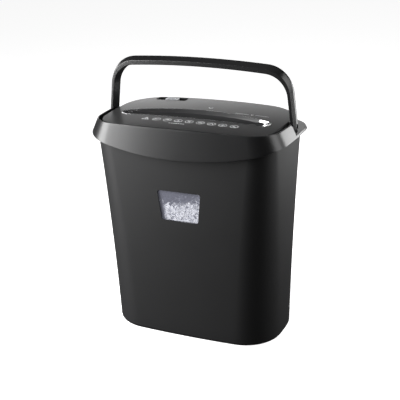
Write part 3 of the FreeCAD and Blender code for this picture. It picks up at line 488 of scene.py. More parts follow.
def panePaint():
    # slightly milky clear plastic
    paint = moulded("panePaint", (0.46, 0.47, 0.58), 0.20, grain=(300, 0.02), patch=(25.0, 0.2))
    paint.node_tree.nodes["Principled BSDF"].inputs["Alpha"].default_value = 0.10
    return paint


paints = {
    "bin_plastic": moulded("binPlastic", (0.0125, 0.0125, 0.013), 0.52, (1500, 0.10), (7, 0.25),
                           **{"Specular IOR Level": 0.38}),
    "head_plastic": moulded("headPlastic", (0.010, 0.010, 0.0105), 0.31, (1800, 0.05), (8, 0.2),
                            **{"Specular IOR Level": 0.5}),
    "handle_plastic": moulded("handlePlastic", (0.009, 0.009, 0.0095), 0.26, (1800, 0.05), (12, 0.2),
                              **{"Specular IOR Level": 0.5}),
    "window_plastic": panePaint(),
    "paper_shreds": paperPaint(),
    "bezel_chrome": worked("bezelChrome", (0.74, 0.74, 0.75), 0.20, (500, 0.03), 0.08),
    "inner_plastic": moulded("innerPlastic", (0.02, 0.02, 0.021), 0.45, (1200, 0.15)),
    "steel": worked("plainSteel", (0.55, 0.55, 0.56), 0.25),
    "cutter_steel": worked("cutterSteel", (0.40, 0.40, 0.42), 0.30, (700, 0.25), 0.35),
    "plated_steel": worked("platedSteel", (0.66, 0.64, 0.56), 0.32, (250, 0.1), 0.25),
    "bush_brass": worked("bushBrass", (0.72, 0.52, 0.24), 0.28, (500, 0.12), 0.2),
    "gear_nylon": moulded("gearNylon", (0.72, 0.70, 0.62), 0.42, (900, 0.1)),
    "gear_steel": worked("gearSteel", (0.45, 0.45, 0.46), 0.35, (600, 0.2), 0.3),
    "lamination_steel": layered(worked("laminations", (0.30, 0.30, 0.31), 0.42), 330.0,
                                ((0.12, 0.12, 0.13), (0.34, 0.34, 0.36))),
    "coil_copper": layered(worked("windings", (0.70, 0.34, 0.16), 0.3), 300.0,
                           ((0.45, 0.18, 0.07), (0.78, 0.40, 0.20))),
    "fan_plastic": moulded("fanPlastic", (0.07, 0.07, 0.075), 0.4),
    "board_laminate": boardPaint(),
    "relay_case": moulded("relayCase", (0.02, 0.07, 0.28), 0.3, (900, 0.08)),
    "capacitor_case": moulded("capacitorCase", (0.5, 0.04, 0.02), 0.28, (900, 0.05)),
    "terminal_green": moulded("terminalGreen", (0.03, 0.3, 0.14), 0.4),
    "gland_rubber": moulded("glandRubber", (0.012, 0.012, 0.012), 0.7, (500, 0.3)),
    "switch_plastic": moulded("switchPlastic", (0.012, 0.012, 0.012), 0.35),
    "slider_silver": moulded("sliderSilver", (0.56, 0.57, 0.59), 0.28, (1500, 0.06), (30, 0.2), Metallic=0.7),
}
printGrey = moulded("printGrey", (0.78, 0.79, 0.80), 0.5, (700, 0.05), (200, 0.5))


def paintAs(obj, slotName, paint=None):
    obj.data.materials.clear()
    obj.data.materials.append(paint or paints[slotName])
    return obj


for entry in frame["record"]["subparts"]:
    node = frame["nodes"][entry["node"]]
    node.data.materials.clear()
    node.data.materials.append(paints[entry["material_slot"]])
print("materials made:", len(paints))


binValues = {
    "plan": planOf(155.5, 85.5, 85.5, 9.0, 7.0, 66.5, 66.5),
    "flareWidth": 10.0 * mm,
    "flareDepth": 10.8 * mm,
    "cornerLoss": 24.5 * mm,
    "flareMid": 0.38,               # share of the flare reached at half height
    "wall": 2.5 * mm,
    "floor": 3.0 * mm,
    "baseRound": 7.0 * mm,
    "rimRound": 0.9 * mm,
    "edgeRound": 0.5 * mm,
    "rows": 26,
    "tab": (152.5 * mm, 161.6 * mm, 20.0 * mm, 30.0 * mm, 1 * mm),
    "tabZ": (332.0 * mm, 336.0 * mm),
}
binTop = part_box("bin_shell")[1].z


def binPlan(z):
    v = binValues
    h = z / binTop
    bend = 2 - 4 * v["flareMid"]
    share = h * (1 - bend) + h * h * bend
    plan = dict(v["plan"])
    plan["half"] += v["flareWidth"] * share
    plan["front"] += v["flareDepth"] * share
    plan["rear"] += v["flareDepth"] * share
    plan["rFront"] -= v["cornerLoss"] * share
    plan["rRear"] -= v["cornerLoss"] * share
    return plan


def binRing(z, inset):
    return atHeight(planOutline(binPlan(z), inset), z)


windowValues = {"low": 223.0 * mm, "high": 276.0 * mm, "halfLow": 34.2 * mm, "halfHigh": 38.8 * mm,
                "corner": 4.0 * mm, "cutY": (-0.12, -0.06)}


def windowOutline(grow, steps=6):
    # the window's four rounded corners in X and Z
    v = windowValues
    radius = v["corner"] + grow
    lean = math.atan2(v["halfHigh"] - v["halfLow"], v["high"] - v["low"])
    inLow = radius * (1 + math.sin(lean)) / math.cos(lean)
    inHigh = radius * (1 - math.sin(lean)) / math.cos(lean)
    xLow = v["halfLow"] + grow - inLow
    xHigh = v["halfHigh"] + grow - inHigh
    low = v["low"] - grow + radius
    high = v["high"] + grow - radius
    right = arcPoints(xLow, low, radius, -quarter, -lean, steps, last=True)
    right += arcPoints(xHigh, high, radius, -lean, quarter, steps, last=True)
    return right + [(-x, z) for x, z in right[::-1]]


def windowTool(grow, y0, y1):
    outline = windowOutline(grow)
    return linkMesh("tool", *skin([[Vector((x, y, z)) for x, z in outline] for y in (y0, y1)]))


def makeBin(v):
    rings = []
    r = v["baseRound"]
    for k in range(7):
        a = quarter * k / 6
        rings.append(binRing(r * (1 - math.cos(a)), r * (1 - math.sin(a))))
    for k in range(1, v["rows"]):
        rings.append(binRing(r + (binTop - v["rimRound"] - r) * k / v["rows"], 0))
    rim = v["rimRound"]
    for k in range(4):
        a = quarter * k / 3
        rings.append(binRing(binTop - rim * (1 - math.sin(a)), rim * (1 - math.cos(a))))
    for k in range(1, 4):
        a = quarter * k / 3
        rings.append(binRing(binTop - rim * (1 - math.cos(a)), v["wall"] - rim * (1 - math.sin(a))))
    inside = v["rows"] // 2
    for k in range(1, inside + 1):
        rings.append(binRing(binTop - rim - (binTop - rim - v["floor"]) * k / inside, v["wall"]))
    shell = linkMesh("binShell", *skin(rings))
    cutAway(shell, windowTool(0.0, *windowValues["cutY"]))
    softenEdges(shell, v["edgeRound"])
    tab = linkMesh("tabPiece", *skin([atHeight(boxOutline(*v["tab"]), z) for z in v["tabZ"]]))
    shell = joinObjects("binShell", [shell, tab])
    return evenNormals(shell)


binShell = paintAs(makeBin(binValues), "bin_plastic")
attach(binShell, "bin")
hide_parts("bin_shell")


paneValues = {
    # growth of the outline, depth of the front and of the back, from the bin's surface
    "plug": (-0.2 * mm, 0.7 * mm, 2.6 * mm),
    "flange": (3.8 * mm, 2.6 * mm, 4.0 * mm),
}


def makePane(v):
    # the pane follows the bin's wall: a plug in the opening and a wider flange behind it
    parts = []
    for grow, near, far in (v["plug"], v["flange"]):
        outline = windowOutline(grow)
        rings = []
        for share in (0.0, 0.5, 1.0):
            depth = near + (far - near) * share
            rings.append([Vector((x, frontWallY(x, z) + depth, z)) for x, z in outline])
        parts.append(linkMesh("panePart", *skin(rings)))
    return joinObjects("windowPane", parts)


def frontWallY(x, z):
    plan = binPlan(z)
    endR = (plan["half"] ** 2 + plan["bowY"] ** 2) / (2 * plan["bowY"])
    return -(plan["front"] - endR) - math.sqrt(endR * endR - x * x)


pane = paintAs(makePane(paneValues), "window_plastic")
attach(pane, "bin")
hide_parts("window_pane")
print("bin and window made")


shredValues = {
    "length": 26.0 * mm,
    "width": 4.0 * mm,
    "curl": 8.0 * mm,
    "onTop": 900,
    "atWindow": 420,
    "seed": 7,
    "twist": 0.8,
    "topArea": (256 * mm, 128 * mm),
    "frontWide": 94 * mm,
    "frontLow": 212 * mm,
    "frontHigh": 40 * mm,
    "lowest": 6 * mm,
    "overHeap": 9 * mm,
    "frontHalf": 60 * mm,               # nearer the middle than this the front wall itself is the limit
    "frontGap": 4.4 * mm,
    "roundGap": (9 * mm, 7 * mm),
}
heapValues = {
    "gap": 5.0 * mm,
    "low": 7.2 * mm,
    "sideLow": 8 * mm,
    "sideDrop": 20 * mm,
    "sideRows": 13,
    "rough": 1.2 * mm,
    "roughScale": 90,
    "lump": 5.0 * mm,
    "lumpScale": 22,
    "topDrop": 7 * mm,
    "dome": 4 * mm,
    "insets": (0.0, 4.0, 9.0, 15.0, 22.0, 30.0, 40.0, 52.0),
}
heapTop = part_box("shred_heap")[1].z


def heapHeight(x, y):
    v = heapValues
    lump = noise.fractal(Vector((x * v["lumpScale"], y * v["lumpScale"], 3.1)), 1.0, 2.0, 4)
    dome = 1 - min(1.0, (x / 0.16) ** 2 * 0.6 + (y / 0.085) ** 2 * 0.6)
    return heapTop - v["topDrop"] + v["lump"] * lump + v["dome"] * dome


def makeHeap(v):
    side = binValues["wall"] + v["gap"]
    apart = Vector((9, 0, 0))
    rings = [binRing(v["low"], side)]
    for k in range(1, v["sideRows"] + 1):
        z = v["sideLow"] + (heapTop - v["sideDrop"]) * k / v["sideRows"]
        spots = [(p, p * v["roughScale"]) for p in binRing(z, side)]
        rings.append([p + v["rough"] * Vector((noise.noise(q), noise.noise(q + apart), 0)) for p, q in spots])
    for inset in v["insets"]:
        outline = planOutline(binPlan(heapTop), side + 1 * mm + inset * mm)
        drop = max(0.0, 4.0 - inset) * mm
        rings.append([Vector((x, y, heapHeight(x, y) - drop)) for x, y in outline])
    return linkMesh("shredHeap", *skin(rings), smoothAngle=60.0)


heap = paintAs(makeHeap(heapValues), "paper_shreds")
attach(heap, "bin")
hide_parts("shred_heap")


def makeShred(v):
    # one cross-cut strip, curled along its length and with a slight twist
    rows = 6
    verts = []
    for k in range(rows + 1):
        t = k / rows - 0.5
        lift = v["curl"] * (t * t * 2)
        twist = t * v["twist"]
        for side in (-0.5, 0.5):
            w = side * v["width"]
            verts.append(Vector((t * v["length"], w * math.cos(twist), lift + w * math.sin(twist))))
    faces = [(2 * k, 2 * k + 2, 2 * k + 3, 2 * k + 1) for k in range(rows)]
    return linkMesh("oneShred", verts, faces)


def scatterTree(strip, paint):
    # scatters strips over a surface, turned at random, and joins them
    tree = bpy.data.node_groups.new("scatterShreds", "GeometryNodeTree")
    tree.is_modifier = True
    tree.interface.new_socket("Geometry", in_out="INPUT", socket_type="NodeSocketGeometry")
    for label, kind, value in (("Density", "NodeSocketFloat", 1000.0), ("Seed", "NodeSocketInt", 1),
                               ("Least Size", "NodeSocketFloat", 0.6), ("Tilt", "NodeSocketFloat", 0.6)):
        tree.interface.new_socket(label, in_out="INPUT", socket_type=kind).default_value = value
    tree.interface.new_socket("Geometry", in_out="OUTPUT", socket_type="NodeSocketGeometry")
    inp = addNode(tree, "NodeGroupInput")
    out = addNode(tree, "NodeGroupOutput")
    spread = addNode(tree, "GeometryNodeDistributePointsOnFaces")
    info = addNode(tree, "GeometryNodeObjectInfo", {"Object": strip})
    place = addNode(tree, "GeometryNodeInstanceOnPoints")
    tilt = addNode(tree, "FunctionNodeRandomValue", data_type="FLOAT_VECTOR")
    low = addNode(tree, "ShaderNodeCombineXYZ", {"Z": -math.pi})
    high = addNode(tree, "ShaderNodeCombineXYZ", {"Z": math.pi})
    negative = addMath(tree, "MULTIPLY", inp.outputs["Tilt"], -1.0)
    turn = addNode(tree, "GeometryNodeRotateInstances")
    size = addNode(tree, "FunctionNodeRandomValue", {3: 1.1}, data_type="FLOAT")
    scale = addNode(tree, "GeometryNodeScaleInstances")
    real = addNode(tree, "GeometryNodeRealizeInstances")
    paintNode = addNode(tree, "GeometryNodeSetMaterial", {"Material": paint})
    for axis in ("X", "Y"):
        wire(tree, (negative, low.inputs[axis]), (inp.outputs["Tilt"], high.inputs[axis]))
    for node in (spread, tilt, size):
        tree.links.new(inp.outputs["Seed"], node.inputs["Seed"])
    wire(tree, (inp.outputs["Geometry"], spread.inputs["Mesh"]),
         (inp.outputs["Density"], spread.inputs["Density"]),
         (spread.outputs["Points"], place.inputs["Points"]),
         (info.outputs["Geometry"], place.inputs["Instance"]),
         (spread.outputs["Rotation"], place.inputs["Rotation"]),
         (low.outputs[0], tilt.inputs[0]), (high.outputs[0], tilt.inputs[1]),
         (place.outputs[0], turn.inputs["Instances"]), (tilt.outputs[0], turn.inputs["Rotation"]),
         (inp.outputs["Least Size"], size.inputs[2]),
         (turn.outputs[0], scale.inputs["Instances"]), (size.outputs[1], scale.inputs["Scale"]),
         (scale.outputs[0], real.inputs[0]), (real.outputs[0], paintNode.inputs[0]),
         (paintNode.outputs[0], out.inputs[0]))
    return tree


def scatterOn(name, surface, tree, **inputs):
    scatter = surface.modifiers.new("scatter", "NODES")
    scatter.node_group = tree
    for item in tree.interface.items_tree:
        label = item.name.replace(" ", "")
        if item.item_type == "SOCKET" and item.in_out == "INPUT" and label in inputs:
            scatter[item.identifier] = inputs[label]
    obj = bpy.data.objects.new(name, evaluatedMesh(surface))
    bpy.context.scene.collection.objects.link(obj)
    dropObject(surface)
    return obj


def gridSurface(point, columns, rows):
    verts = [point(i / columns, j / rows) for j in range(rows + 1) for i in range(columns + 1)]
    faces = []
    for j in range(rows):
        for i in range(columns):
            a = j * (columns + 1) + i
            faces.append((a, a + 1, a + columns + 2, a + columns + 1))
    return linkMesh("surface", verts, faces)


def keepInside(obj, v):
    # strips that reach through the bin's wall are drawn back inside it
    gapX, gapY = v["roundGap"]
    for vert in obj.data.vertices:
        p = vert.co
        p.z = min(max(p.z, v["lowest"]), heapTop + v["overHeap"])
        if abs(p.x) < v["frontHalf"] and p.y < 0:
            p.y = max(p.y, frontWallY(p.x, p.z) + v["frontGap"])
            continue
        plan = binPlan(p.z)
        share = (abs(p.x) / (plan["half"] - gapX)) ** 4 + (abs(p.y) / (plan["front"] - gapY)) ** 4
        if share > 1:
            back = share ** -0.25
            p.x *= back
            p.y *= back


def makeShreds(v):
    strip = makeShred(v)
    strip.data.materials.append(paints["paper_shreds"])
    tree = scatterTree(strip, paints["paper_shreds"])

    wide, deep = v["topArea"]

    def topPoint(s, t):
        x = (s - 0.5) * wide
        y = (t - 0.5) * deep
        return Vector((x, y, heapHeight(x, y) + 0.5 * mm))

    def windowPoint(s, t):
        x = (s - 0.5) * v["frontWide"]
        z = v["frontLow"] + t * (heapTop - 2 * mm - v["frontLow"] + 3 * mm * math.sin(9 * s + 1))
        return Vector((x, frontWallY(x, z) + 6.2 * mm, z))

    top = gridSurface(topPoint, 40, 20)
    front = gridSurface(windowPoint, 30, 12)
    shredsTop = scatterOn("shredsOnTop", top, tree, Density=v["onTop"] / (wide * deep), Seed=v["seed"],
                          LeastSize=0.6, Tilt=0.55)
    shredsFront = scatterOn("shredsAtWindow", front, tree,
                            Density=v["atWindow"] / (v["frontWide"] * v["frontHigh"]), Seed=v["seed"] + 1,
                            LeastSize=0.35, Tilt=0.8)
    dropObject(strip)
    for obj in (shredsTop, shredsFront):
        keepInside(obj, v)
        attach(obj, "bin")


makeShreds(shredValues)
print("shreds made")


bandValues = {
    "top": planOf(167.0, 96.0, 96.0, 9.0, 8.0, 47.0, 50.0),
    "low": planOf(190.0, 107.0, 107.0, 9.0, 8.0, 60.0, 60.0),
    "opening": planOf(150.0, 86.0, 84.0, 6.0, 8.0, 40.0, 54.0),
    "topZ": 384.0 * mm,
    "lowZ": 335.0 * mm,
    "ledgeTop": 365.5 * mm,
    "ledgeLow": 362.5 * mm,
    "wall": 3.0 * mm,
    "rimWall": 2.2 * mm,
    "sweep": 605.0 * mm,
    "notchY": -5.0 * mm,
    "lip": 0.8 * mm,
    "edge": 0.25 * mm,
    "rimEdge": 0.5 * mm,
    "edgeRound": 0.45 * mm,
    "reach": 400 * mm,
    "rows": 10,
}


def makeBand(v):
    steps = (16, 18, 16)

    def ruled(inset):
        low = planOutline(v["low"], inset, steps)
        top = planOutline(v["top"], inset, steps)
        return list(zip(low, top))

    def between(pair, z):
        share = (z - v["lowZ"]) / (v["topZ"] - v["lowZ"])
        (ax, ay), (bx, by) = pair
        return Vector((ax + (bx - ax) * share, ay + (by - ay) * share, z))

    def sweptZ(pair):
        z = v["lowZ"]
        for _ in range(12):
            x = between(pair, z).x
            z = v["lowZ"] + v["sweep"] - math.sqrt(v["sweep"] ** 2 - x * x)
        return z

    def level(pairs, z):
        return [between(pair, z) for pair in pairs]

    def lifted(inset, lift):
        return [between(pair, z + lift) for pair, z in zip(ruled(inset), lows)]

    outer = ruled(0.0)
    inner = ruled(v["wall"])
    rim = ruled(v["rimWall"])
    hole = planOutline(v["opening"], 0.0, steps)
    lows = [sweptZ(pair) for pair in outer]
    lip, edge, rimEdge, top, ledge = (v[name] for name in ("lip", "edge", "rimEdge", "topZ", "ledgeLow"))
    rings = [lifted(0.0, lip)]
    for k in range(1, v["rows"] + 1):
        share = k / v["rows"]
        rings.append([between(pair, (z + lip) * (1 - share) + (top - lip) * share)
                      for pair, z in zip(outer, lows)])
    rings += [level(ruled(edge), top - edge), level(ruled(lip), top),
              level(ruled(v["rimWall"] - rimEdge), top), level(rim, top - rimEdge),
              level(rim, v["ledgeTop"]), atHeight(hole, v["ledgeTop"]), atHeight(hole, ledge),
              level(inner, ledge)]
    rings.append([between(pair, min(z + lip, ledge - 0.2 * mm)) for pair, z in zip(inner, lows)])
    rings += [lifted(v["wall"] - lip, 0), lifted(lip, 0), lifted(edge, edge)]
    band = linkMesh("headBand", *skin(rings, loop=True))
    far = v["reach"]
    cutAway(band, boxTool(-far, far, v["notchY"], far, v["ledgeTop"], top + 5 * mm))
    softenEdges(band, v["edgeRound"])
    return evenNormals(band)


headBand = paintAs(makeBand(bandValues), "head_plastic")
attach(headBand, "head")
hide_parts("head_band")


deckValues = {
    "plan": planOf(158.3, 93.0, 91.5, 6.0, 8.0, 45.0, 65.0),
    "apex": 389.2 * mm,
    "apexY": 60.0 * mm,
    "crownX": 3000.0 * mm,
    "crownY": 2340.0 * mm,
    "wall": 2.5 * mm,
    "thick": 3.0 * mm,
    "edge": 1.8 * mm,
    "trimOut": (137.0 * mm, -34.0 * mm, 16.0 * mm, 14.0 * mm),      # half width, front, rear, tip radius
    "switch": (-115.0 * mm, -55.0 * mm, 64.0 * mm, 84.0 * mm, 6.0 * mm),
    "edgeRound": 0.35 * mm,
    "boss": (8.0 * mm, 378.0 * mm, 6.3 * mm),
    "bossX": (156.3 * mm, 162.8 * mm),
    "bossRound": 0.6 * mm,
    "squeeze": 0.22,            # the opening is long and narrow, so bearings are taken in a squeezed plane
}
deckLow = bandValues["ledgeTop"]


def deckZ(x, y):
    # the deck is crowned both ways
    v = deckValues
    z = v["apex"] - v["crownX"] + math.sqrt(v["crownX"] ** 2 - x * x)
    return z - v["crownY"] + math.sqrt(v["crownY"] ** 2 - (y - v["apexY"]) ** 2)


def mixOutlines(one, other, t):
    return [(ax + (bx - ax) * t, ay + (by - ay) * t) for (ax, ay), (bx, by) in zip(one, other)]


def onDeck(outline, lift=0.0):
    return [Vector((x, y, deckZ(x, y) + lift)) for x, y in outline]


def lensOutline(half, front, rear, tip, steps=(24, 12, 24)):
    # an opening with a straight front edge, a bowed rear edge and round tips
    a = half - tip
    rise = rear - front - tip
    rearR = (a * a / (rise - tip) + rise + tip) / 2
    toTip = math.atan2(front + tip - (rear - rearR), a)
    points = [(a * k / steps[0], front) for k in range(steps[0])]
    points += arcPoints(a, front + tip, tip, -quarter, toTip, steps[1])
    points += arcPoints(0, rear - rearR, rearR, toTip, quarter, steps[2], last=True)
    return points + [(-x, y) for x, y in points[-2:0:-1]]


def makeDeck(v):
    steps = (16, 18, 16)
    r = v["edge"]
    rings = [atHeight(planOutline(v["plan"], 0, steps), deckLow)]
    for k in range(9):
        a = quarter * k / 8
        rings.append(onDeck(planOutline(v["plan"], r * (1 - math.cos(a)), steps), -r * (1 - math.sin(a))))
    # the top is made in rings that shrink to the outline of the feed opening
    outer = planOutline(v["plan"], r, steps)
    hole = evenlySpaced(lensOutline(*v["trimOut"]), outer)
    for k in range(1, 19):
        rings.append(onDeck(mixOutlines(outer, hole, k / 18)))
    rings.append(onDeck(hole, -v["thick"]))
    inner = planOutline(v["plan"], v["wall"], steps)
    for k in range(1, 9):
        rings.append(onDeck(mixOutlines(hole, inner, k / 8), -v["thick"]))
    rings.append(atHeight(inner, deckLow))
    top = linkMesh("deckCover", *skin(rings, loop=True))
    switch = blockTool(boxOutline(*v["switch"], 8), deckLow, v["apex"] + 5 * mm)
    cutAway(top, switch)
    softenEdges(top, v["edgeRound"])
    y, z, radius = v["boss"]
    start, reach = v["bossX"]
    edge = v["bossRound"]
    parts = [top]
    for side in (-1, 1):
        ring = arcPoints(y, z, radius, 0, 2 * math.pi, 48)
        small = arcPoints(y, z, radius - edge, 0, 2 * math.pi, 48)
        rings = [[Vector((side * x, a, b)) for a, b in turn] for x, turn in
                 ((start, ring), (reach - edge, ring), (reach, small))]
        parts.append(linkMesh("bossPart", *skin(rings)))
    return evenNormals(joinObjects("deckCover", parts))


def evenlySpaced(loop, like):
    # the point of a loop that lies on the same bearing as each point of another outline
    cx, cy = 0.0, (deckValues["trimOut"][1] + deckValues["trimOut"][2]) / 2
    flat = deckValues["squeeze"]
    found = []
    for px, py in like:
        want = math.atan2((py - cy), (px - cx) * flat)
        best = None
        for (ax, ay), (bx, by) in zip(loop, loop[1:] + loop[:1]):
            a0 = math.atan2(ay - cy, (ax - cx) * flat)
            a1 = math.atan2(by - cy, (bx - cx) * flat)
            step = (a1 - a0 + math.pi) % (2 * math.pi) - math.pi
            part = (want - a0 + math.pi) % (2 * math.pi) - math.pi
            if step > 0 and -1e-9 <= part <= step + 1e-9:
                best = (ax + (bx - ax) * part / step, ay + (by - ay) * part / step)
                break
        found.append(best or loop[0])
    return found


deck = paintAs(makeDeck(deckValues), "head_plastic")
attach(deck, "head")
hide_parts("deck_cover")


throatValues = {
    "trimTop": (135.6 * mm, -32.8 * mm, 15.2 * mm, 13.0 * mm),
    "trimIn": (123.0 * mm, -31.5 * mm, 14.6 * mm, 14.0 * mm),
    "trimLow": 381.5 * mm,
    "proud": 0.25 * mm,
    "platedFrom": 112.0 * mm,
    "slotHalf": 112.0 * mm,
    "slotFront": -27.0 * mm,
    "slotRear": -21.0 * mm,
    "slotLow": 351.0 * mm,
    "floorZ": 373.0 * mm,
    "wall": 1.6 * mm,
    "platedTilt": -0.12,
    "rimShare": 0.3,
    "rimDrop": 0.35 * mm,
    "hollow": 0.9 * mm,
    "collar": (134.0 * mm, -33.0 * mm, 15.4 * mm, 12.0 * mm),
    "gateHalf": 5 * mm,
    "gateZ": (350 * mm, 370 * mm),
}


def slotOutline(v, steps=(24, 12, 24)):
    # the paper slot, with as many points as the feed opening round it
    half = v["slotHalf"]
    tip = (v["slotRear"] - v["slotFront"]) / 2
    mid = (v["slotRear"] + v["slotFront"]) / 2
    a = half - tip
    points = [(a * k / steps[0], v["slotFront"]) for k in range(steps[0])]
    points += arcPoints(a, mid, tip, -quarter, quarter, steps[1])
    points += [(a * (1 - k / steps[2]), v["slotRear"]) for k in range(steps[2] + 1)]
    return points + [(-x, y) for x, y in points[-2:0:-1]]


def blendRings(ringA, ringB, t, lift):
    return [a.lerp(b, t) + Vector((0, 0, lift)) for a, b in zip(ringA, ringB)]


def makeBezel(v):
    out = lensOutline(*deckValues["trimOut"])
    top = lensOutline(*v["trimTop"])
    inside = atHeight(lensOutline(*v["trimIn"]), v["trimLow"])
    rim = onDeck(top, v["proud"])
    rings = [atHeight(out, v["trimLow"]), onDeck(out, v["proud"] - v["rimDrop"]),
             onDeck(mixOutlines(out, top, v["rimShare"]), v["proud"]), rim]
    for k in range(1, 13):
        t = k / 12
        sag = -v["hollow"] * math.sin(math.pi * t)      # hollowed between the rim and the inner edge
        rings.append(blendRings(rim, inside, t, sag))
    return evenNormals(linkMesh("throatBezel", *skin(rings, loop=True)))


bezel = paintAs(makeBezel(throatValues), "bezel_chrome")
bezel.data.materials.append(paints["inner_plastic"])
for face in bezel.data.polygons:         # only the ends and the front of the trim are plated
    if face.normal.y < throatValues["platedTilt"] and abs(face.center.x) < throatValues["platedFrom"]:
        face.material_index = 1
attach(bezel, "head")
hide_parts("throat_bezel")


def makeThroat(v):
    # a scoop that narrows to the paper slot, with straight walls below it
    wide = atHeight(lensOutline(*v["trimIn"]), v["trimLow"])
    slotRing = atHeight(slotOutline(v), v["floorZ"])
    rings = [atHeight(lensOutline(*v["collar"]), v["trimLow"] - 0.1 * mm)]
    for k in range(15):
        t = k / 14
        ease = t * t * (3 - 2 * t)
        drop = (v["floorZ"] - v["trimLow"]) * (0.35 * t + 0.65 * ease - t)
        rings.append(blendRings(wide, slotRing, t, drop))
    rings.append([p - Vector((0, 0, 1.0 * mm)) for p in slotRing])
    rings.append([Vector((p.x, p.y, v["slotLow"])) for p in slotRing])
    throat = linkMesh("feedThroat", *skin(rings, caps=False))
    bm = bmesh.new()
    bm.from_mesh(throat.data)
    if sum(face.normal.z * face.calc_area() for face in bm.faces) < 0:
        bmesh.ops.reverse_faces(bm, faces=bm.faces)
    bm.to_mesh(throat.data)
    bm.free()
    wall = throat.modifiers.new("wall", "SOLIDIFY")
    wall.thickness = v["wall"]
    wall.offset = -1.0
    bakeModifiers(throat)
    gate = boxTool(-v["gateHalf"], v["gateHalf"], v["slotRear"] - 1 * mm, v["slotRear"] + 4 * mm, *v["gateZ"])
    cutAway(throat, gate)
    return evenNormals(throat)


throat = paintAs(makeThroat(throatValues), "inner_plastic")
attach(throat, "head")
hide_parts("feed_throat")
print("head casing made")


handleValues = {
    "pivot": (8.0 * mm, 378.0 * mm),
    "depth": 24.0 * mm,
    "halfZ": 386.0 * mm,
    "lean": 0.12,
    "bow": 8.0 * mm,
    "ridge": {"half": 172.3 * mm, "top": 481.5 * mm, "cornerR": 48.0 * mm},     # crown of the outer face
    "edge": {"half": 169.0 * mm, "top": 475.5 * mm, "cornerR": 46.0 * mm},      # its front and rear edges
    "inner": {"half": 163.8 * mm, "top": 468.0 * mm, "cornerR": 41.0 * mm},
    "ridgeHalf": 2.0 * mm,
    "round": 1.1 * mm,
    "edgeRound": 0.7 * mm,
    "ridgeRound": 1.6 * mm,
    "tipHalf": 0.4 * mm,
    "bore": 4.06 * mm,
    "boreHalf": 200 * mm,
}


def archLine(v, arch, lowZ):
    # points of one arch in X and Z, the same number for every arch
    grow = math.hypot(1, v["lean"])
    normal = Vector((1 / grow, v["lean"] / grow))
    along = Vector((-normal.y, normal.x))
    topR = (arch["half"] ** 2 + v["bow"] ** 2) / (2 * v["bow"])
    topC = Vector((0, arch["top"] - topR))
    r = arch["cornerR"]
    inward = Vector((arch["half"], v["halfZ"])) - normal * r - topC
    b = inward.dot(along)
    c = inward.length_squared - (topR - r) ** 2
    corner = topC + inward + along * (-b + math.sqrt(b * b - c))
    start = corner + normal * r
    pivotZ = v["pivot"][1]
    heights = [lowZ + (pivotZ - lowZ) * (1 - math.cos(quarter * k / 14)) for k in range(15)]
    heights += [pivotZ + (start.y - pivotZ) * k / 8 for k in range(1, 8)]
    points = [Vector((start.x + (start.y - z) * v["lean"], z)) for z in heights]
    a0 = math.atan2(normal.y, normal.x)
    a1 = math.atan2(*(corner - topC).yx)
    points += [corner + Vector(p) for p in arcPoints(0, 0, r, a0, a1, 20)]
    points += [topC + Vector(p) for p in arcPoints(0, 0, topR, a1, quarter, 20, last=True)]
    return points + [Vector((-p.x, p.y)) for p in points[-2::-1]]


def makeHandle(v):
    pivotY, pivotZ = v["pivot"]
    lowZ = pivotZ - v["depth"] / 2 + 0.02 * mm
    ridge, edge, inner = (archLine(v, v[name], lowZ) for name in ("ridge", "edge", "inner"))
    rounds = [v[name] for name in ("round", "edgeRound", "ridgeRound", "ridgeRound", "edgeRound", "round")]
    rings = []
    for top, side, low in zip(ridge, edge, inner):
        half = v["depth"] / 2
        if top.y < pivotZ:
            half = math.sqrt(max(half ** 2 - (pivotZ - top.y) ** 2, v["tipHalf"] ** 2))
        share = half / (v["depth"] / 2)
        flat = v["ridgeHalf"] * share
        top = side.lerp(top, share)
        corners = [(low, -half), (side, -half), (top, -flat), (top, flat), (side, half), (low, half)]
        corners = [Vector((p.x, pivotY + y, p.y)) for p, y in corners]
        rings.append(roundedRing(corners, [min(r, 0.3 * half) for r in rounds]))
    handle = linkMesh("handleArch", *skin(rings))
    cutAway(handle, rodTool(-v["boreHalf"], v["boreHalf"], pivotY, pivotZ, v["bore"]))
    return evenNormals(handle)


def roundedRing(corners, cuts, steps=4):
    # a closed polygon with each corner rounded off over the given length
    ring = []
    for k, corner in enumerate(corners):
        before = corners[k - 1]
        after = corners[(k + 1) % len(corners)]
        reach = min(cuts[k], 0.45 * (before - corner).length, 0.45 * (after - corner).length)
        a = corner + (before - corner).normalized() * reach
        b = corner + (after - corner).normalized() * reach
        for i in range(steps + 1):
            t = i / steps
            ring.append(a * (1 - t) ** 2 + corner * 2 * t * (1 - t) + b * t ** 2)
    return ring


handle = paintAs(makeHandle(handleValues), "handle_plastic")
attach(handle, "handle")
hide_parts("handle_arch")
print("handle made")


switchValues = {
    "sideDrop": 0.8 * mm,
    "rimDrop": 0.4 * mm,
    "rimWide": 1.5 * mm,
    "well": 2 * mm,
    # the silver plate stops 7 mm short of each end of the tray, so the bare black tray floor there is painted
    # shade at the ends of the recess
    "plateInset": (7 * mm, 2 * mm),
    "plateCorner": 2 * mm,
    "plateZ": (1.5 * mm, 2.2 * mm),
}


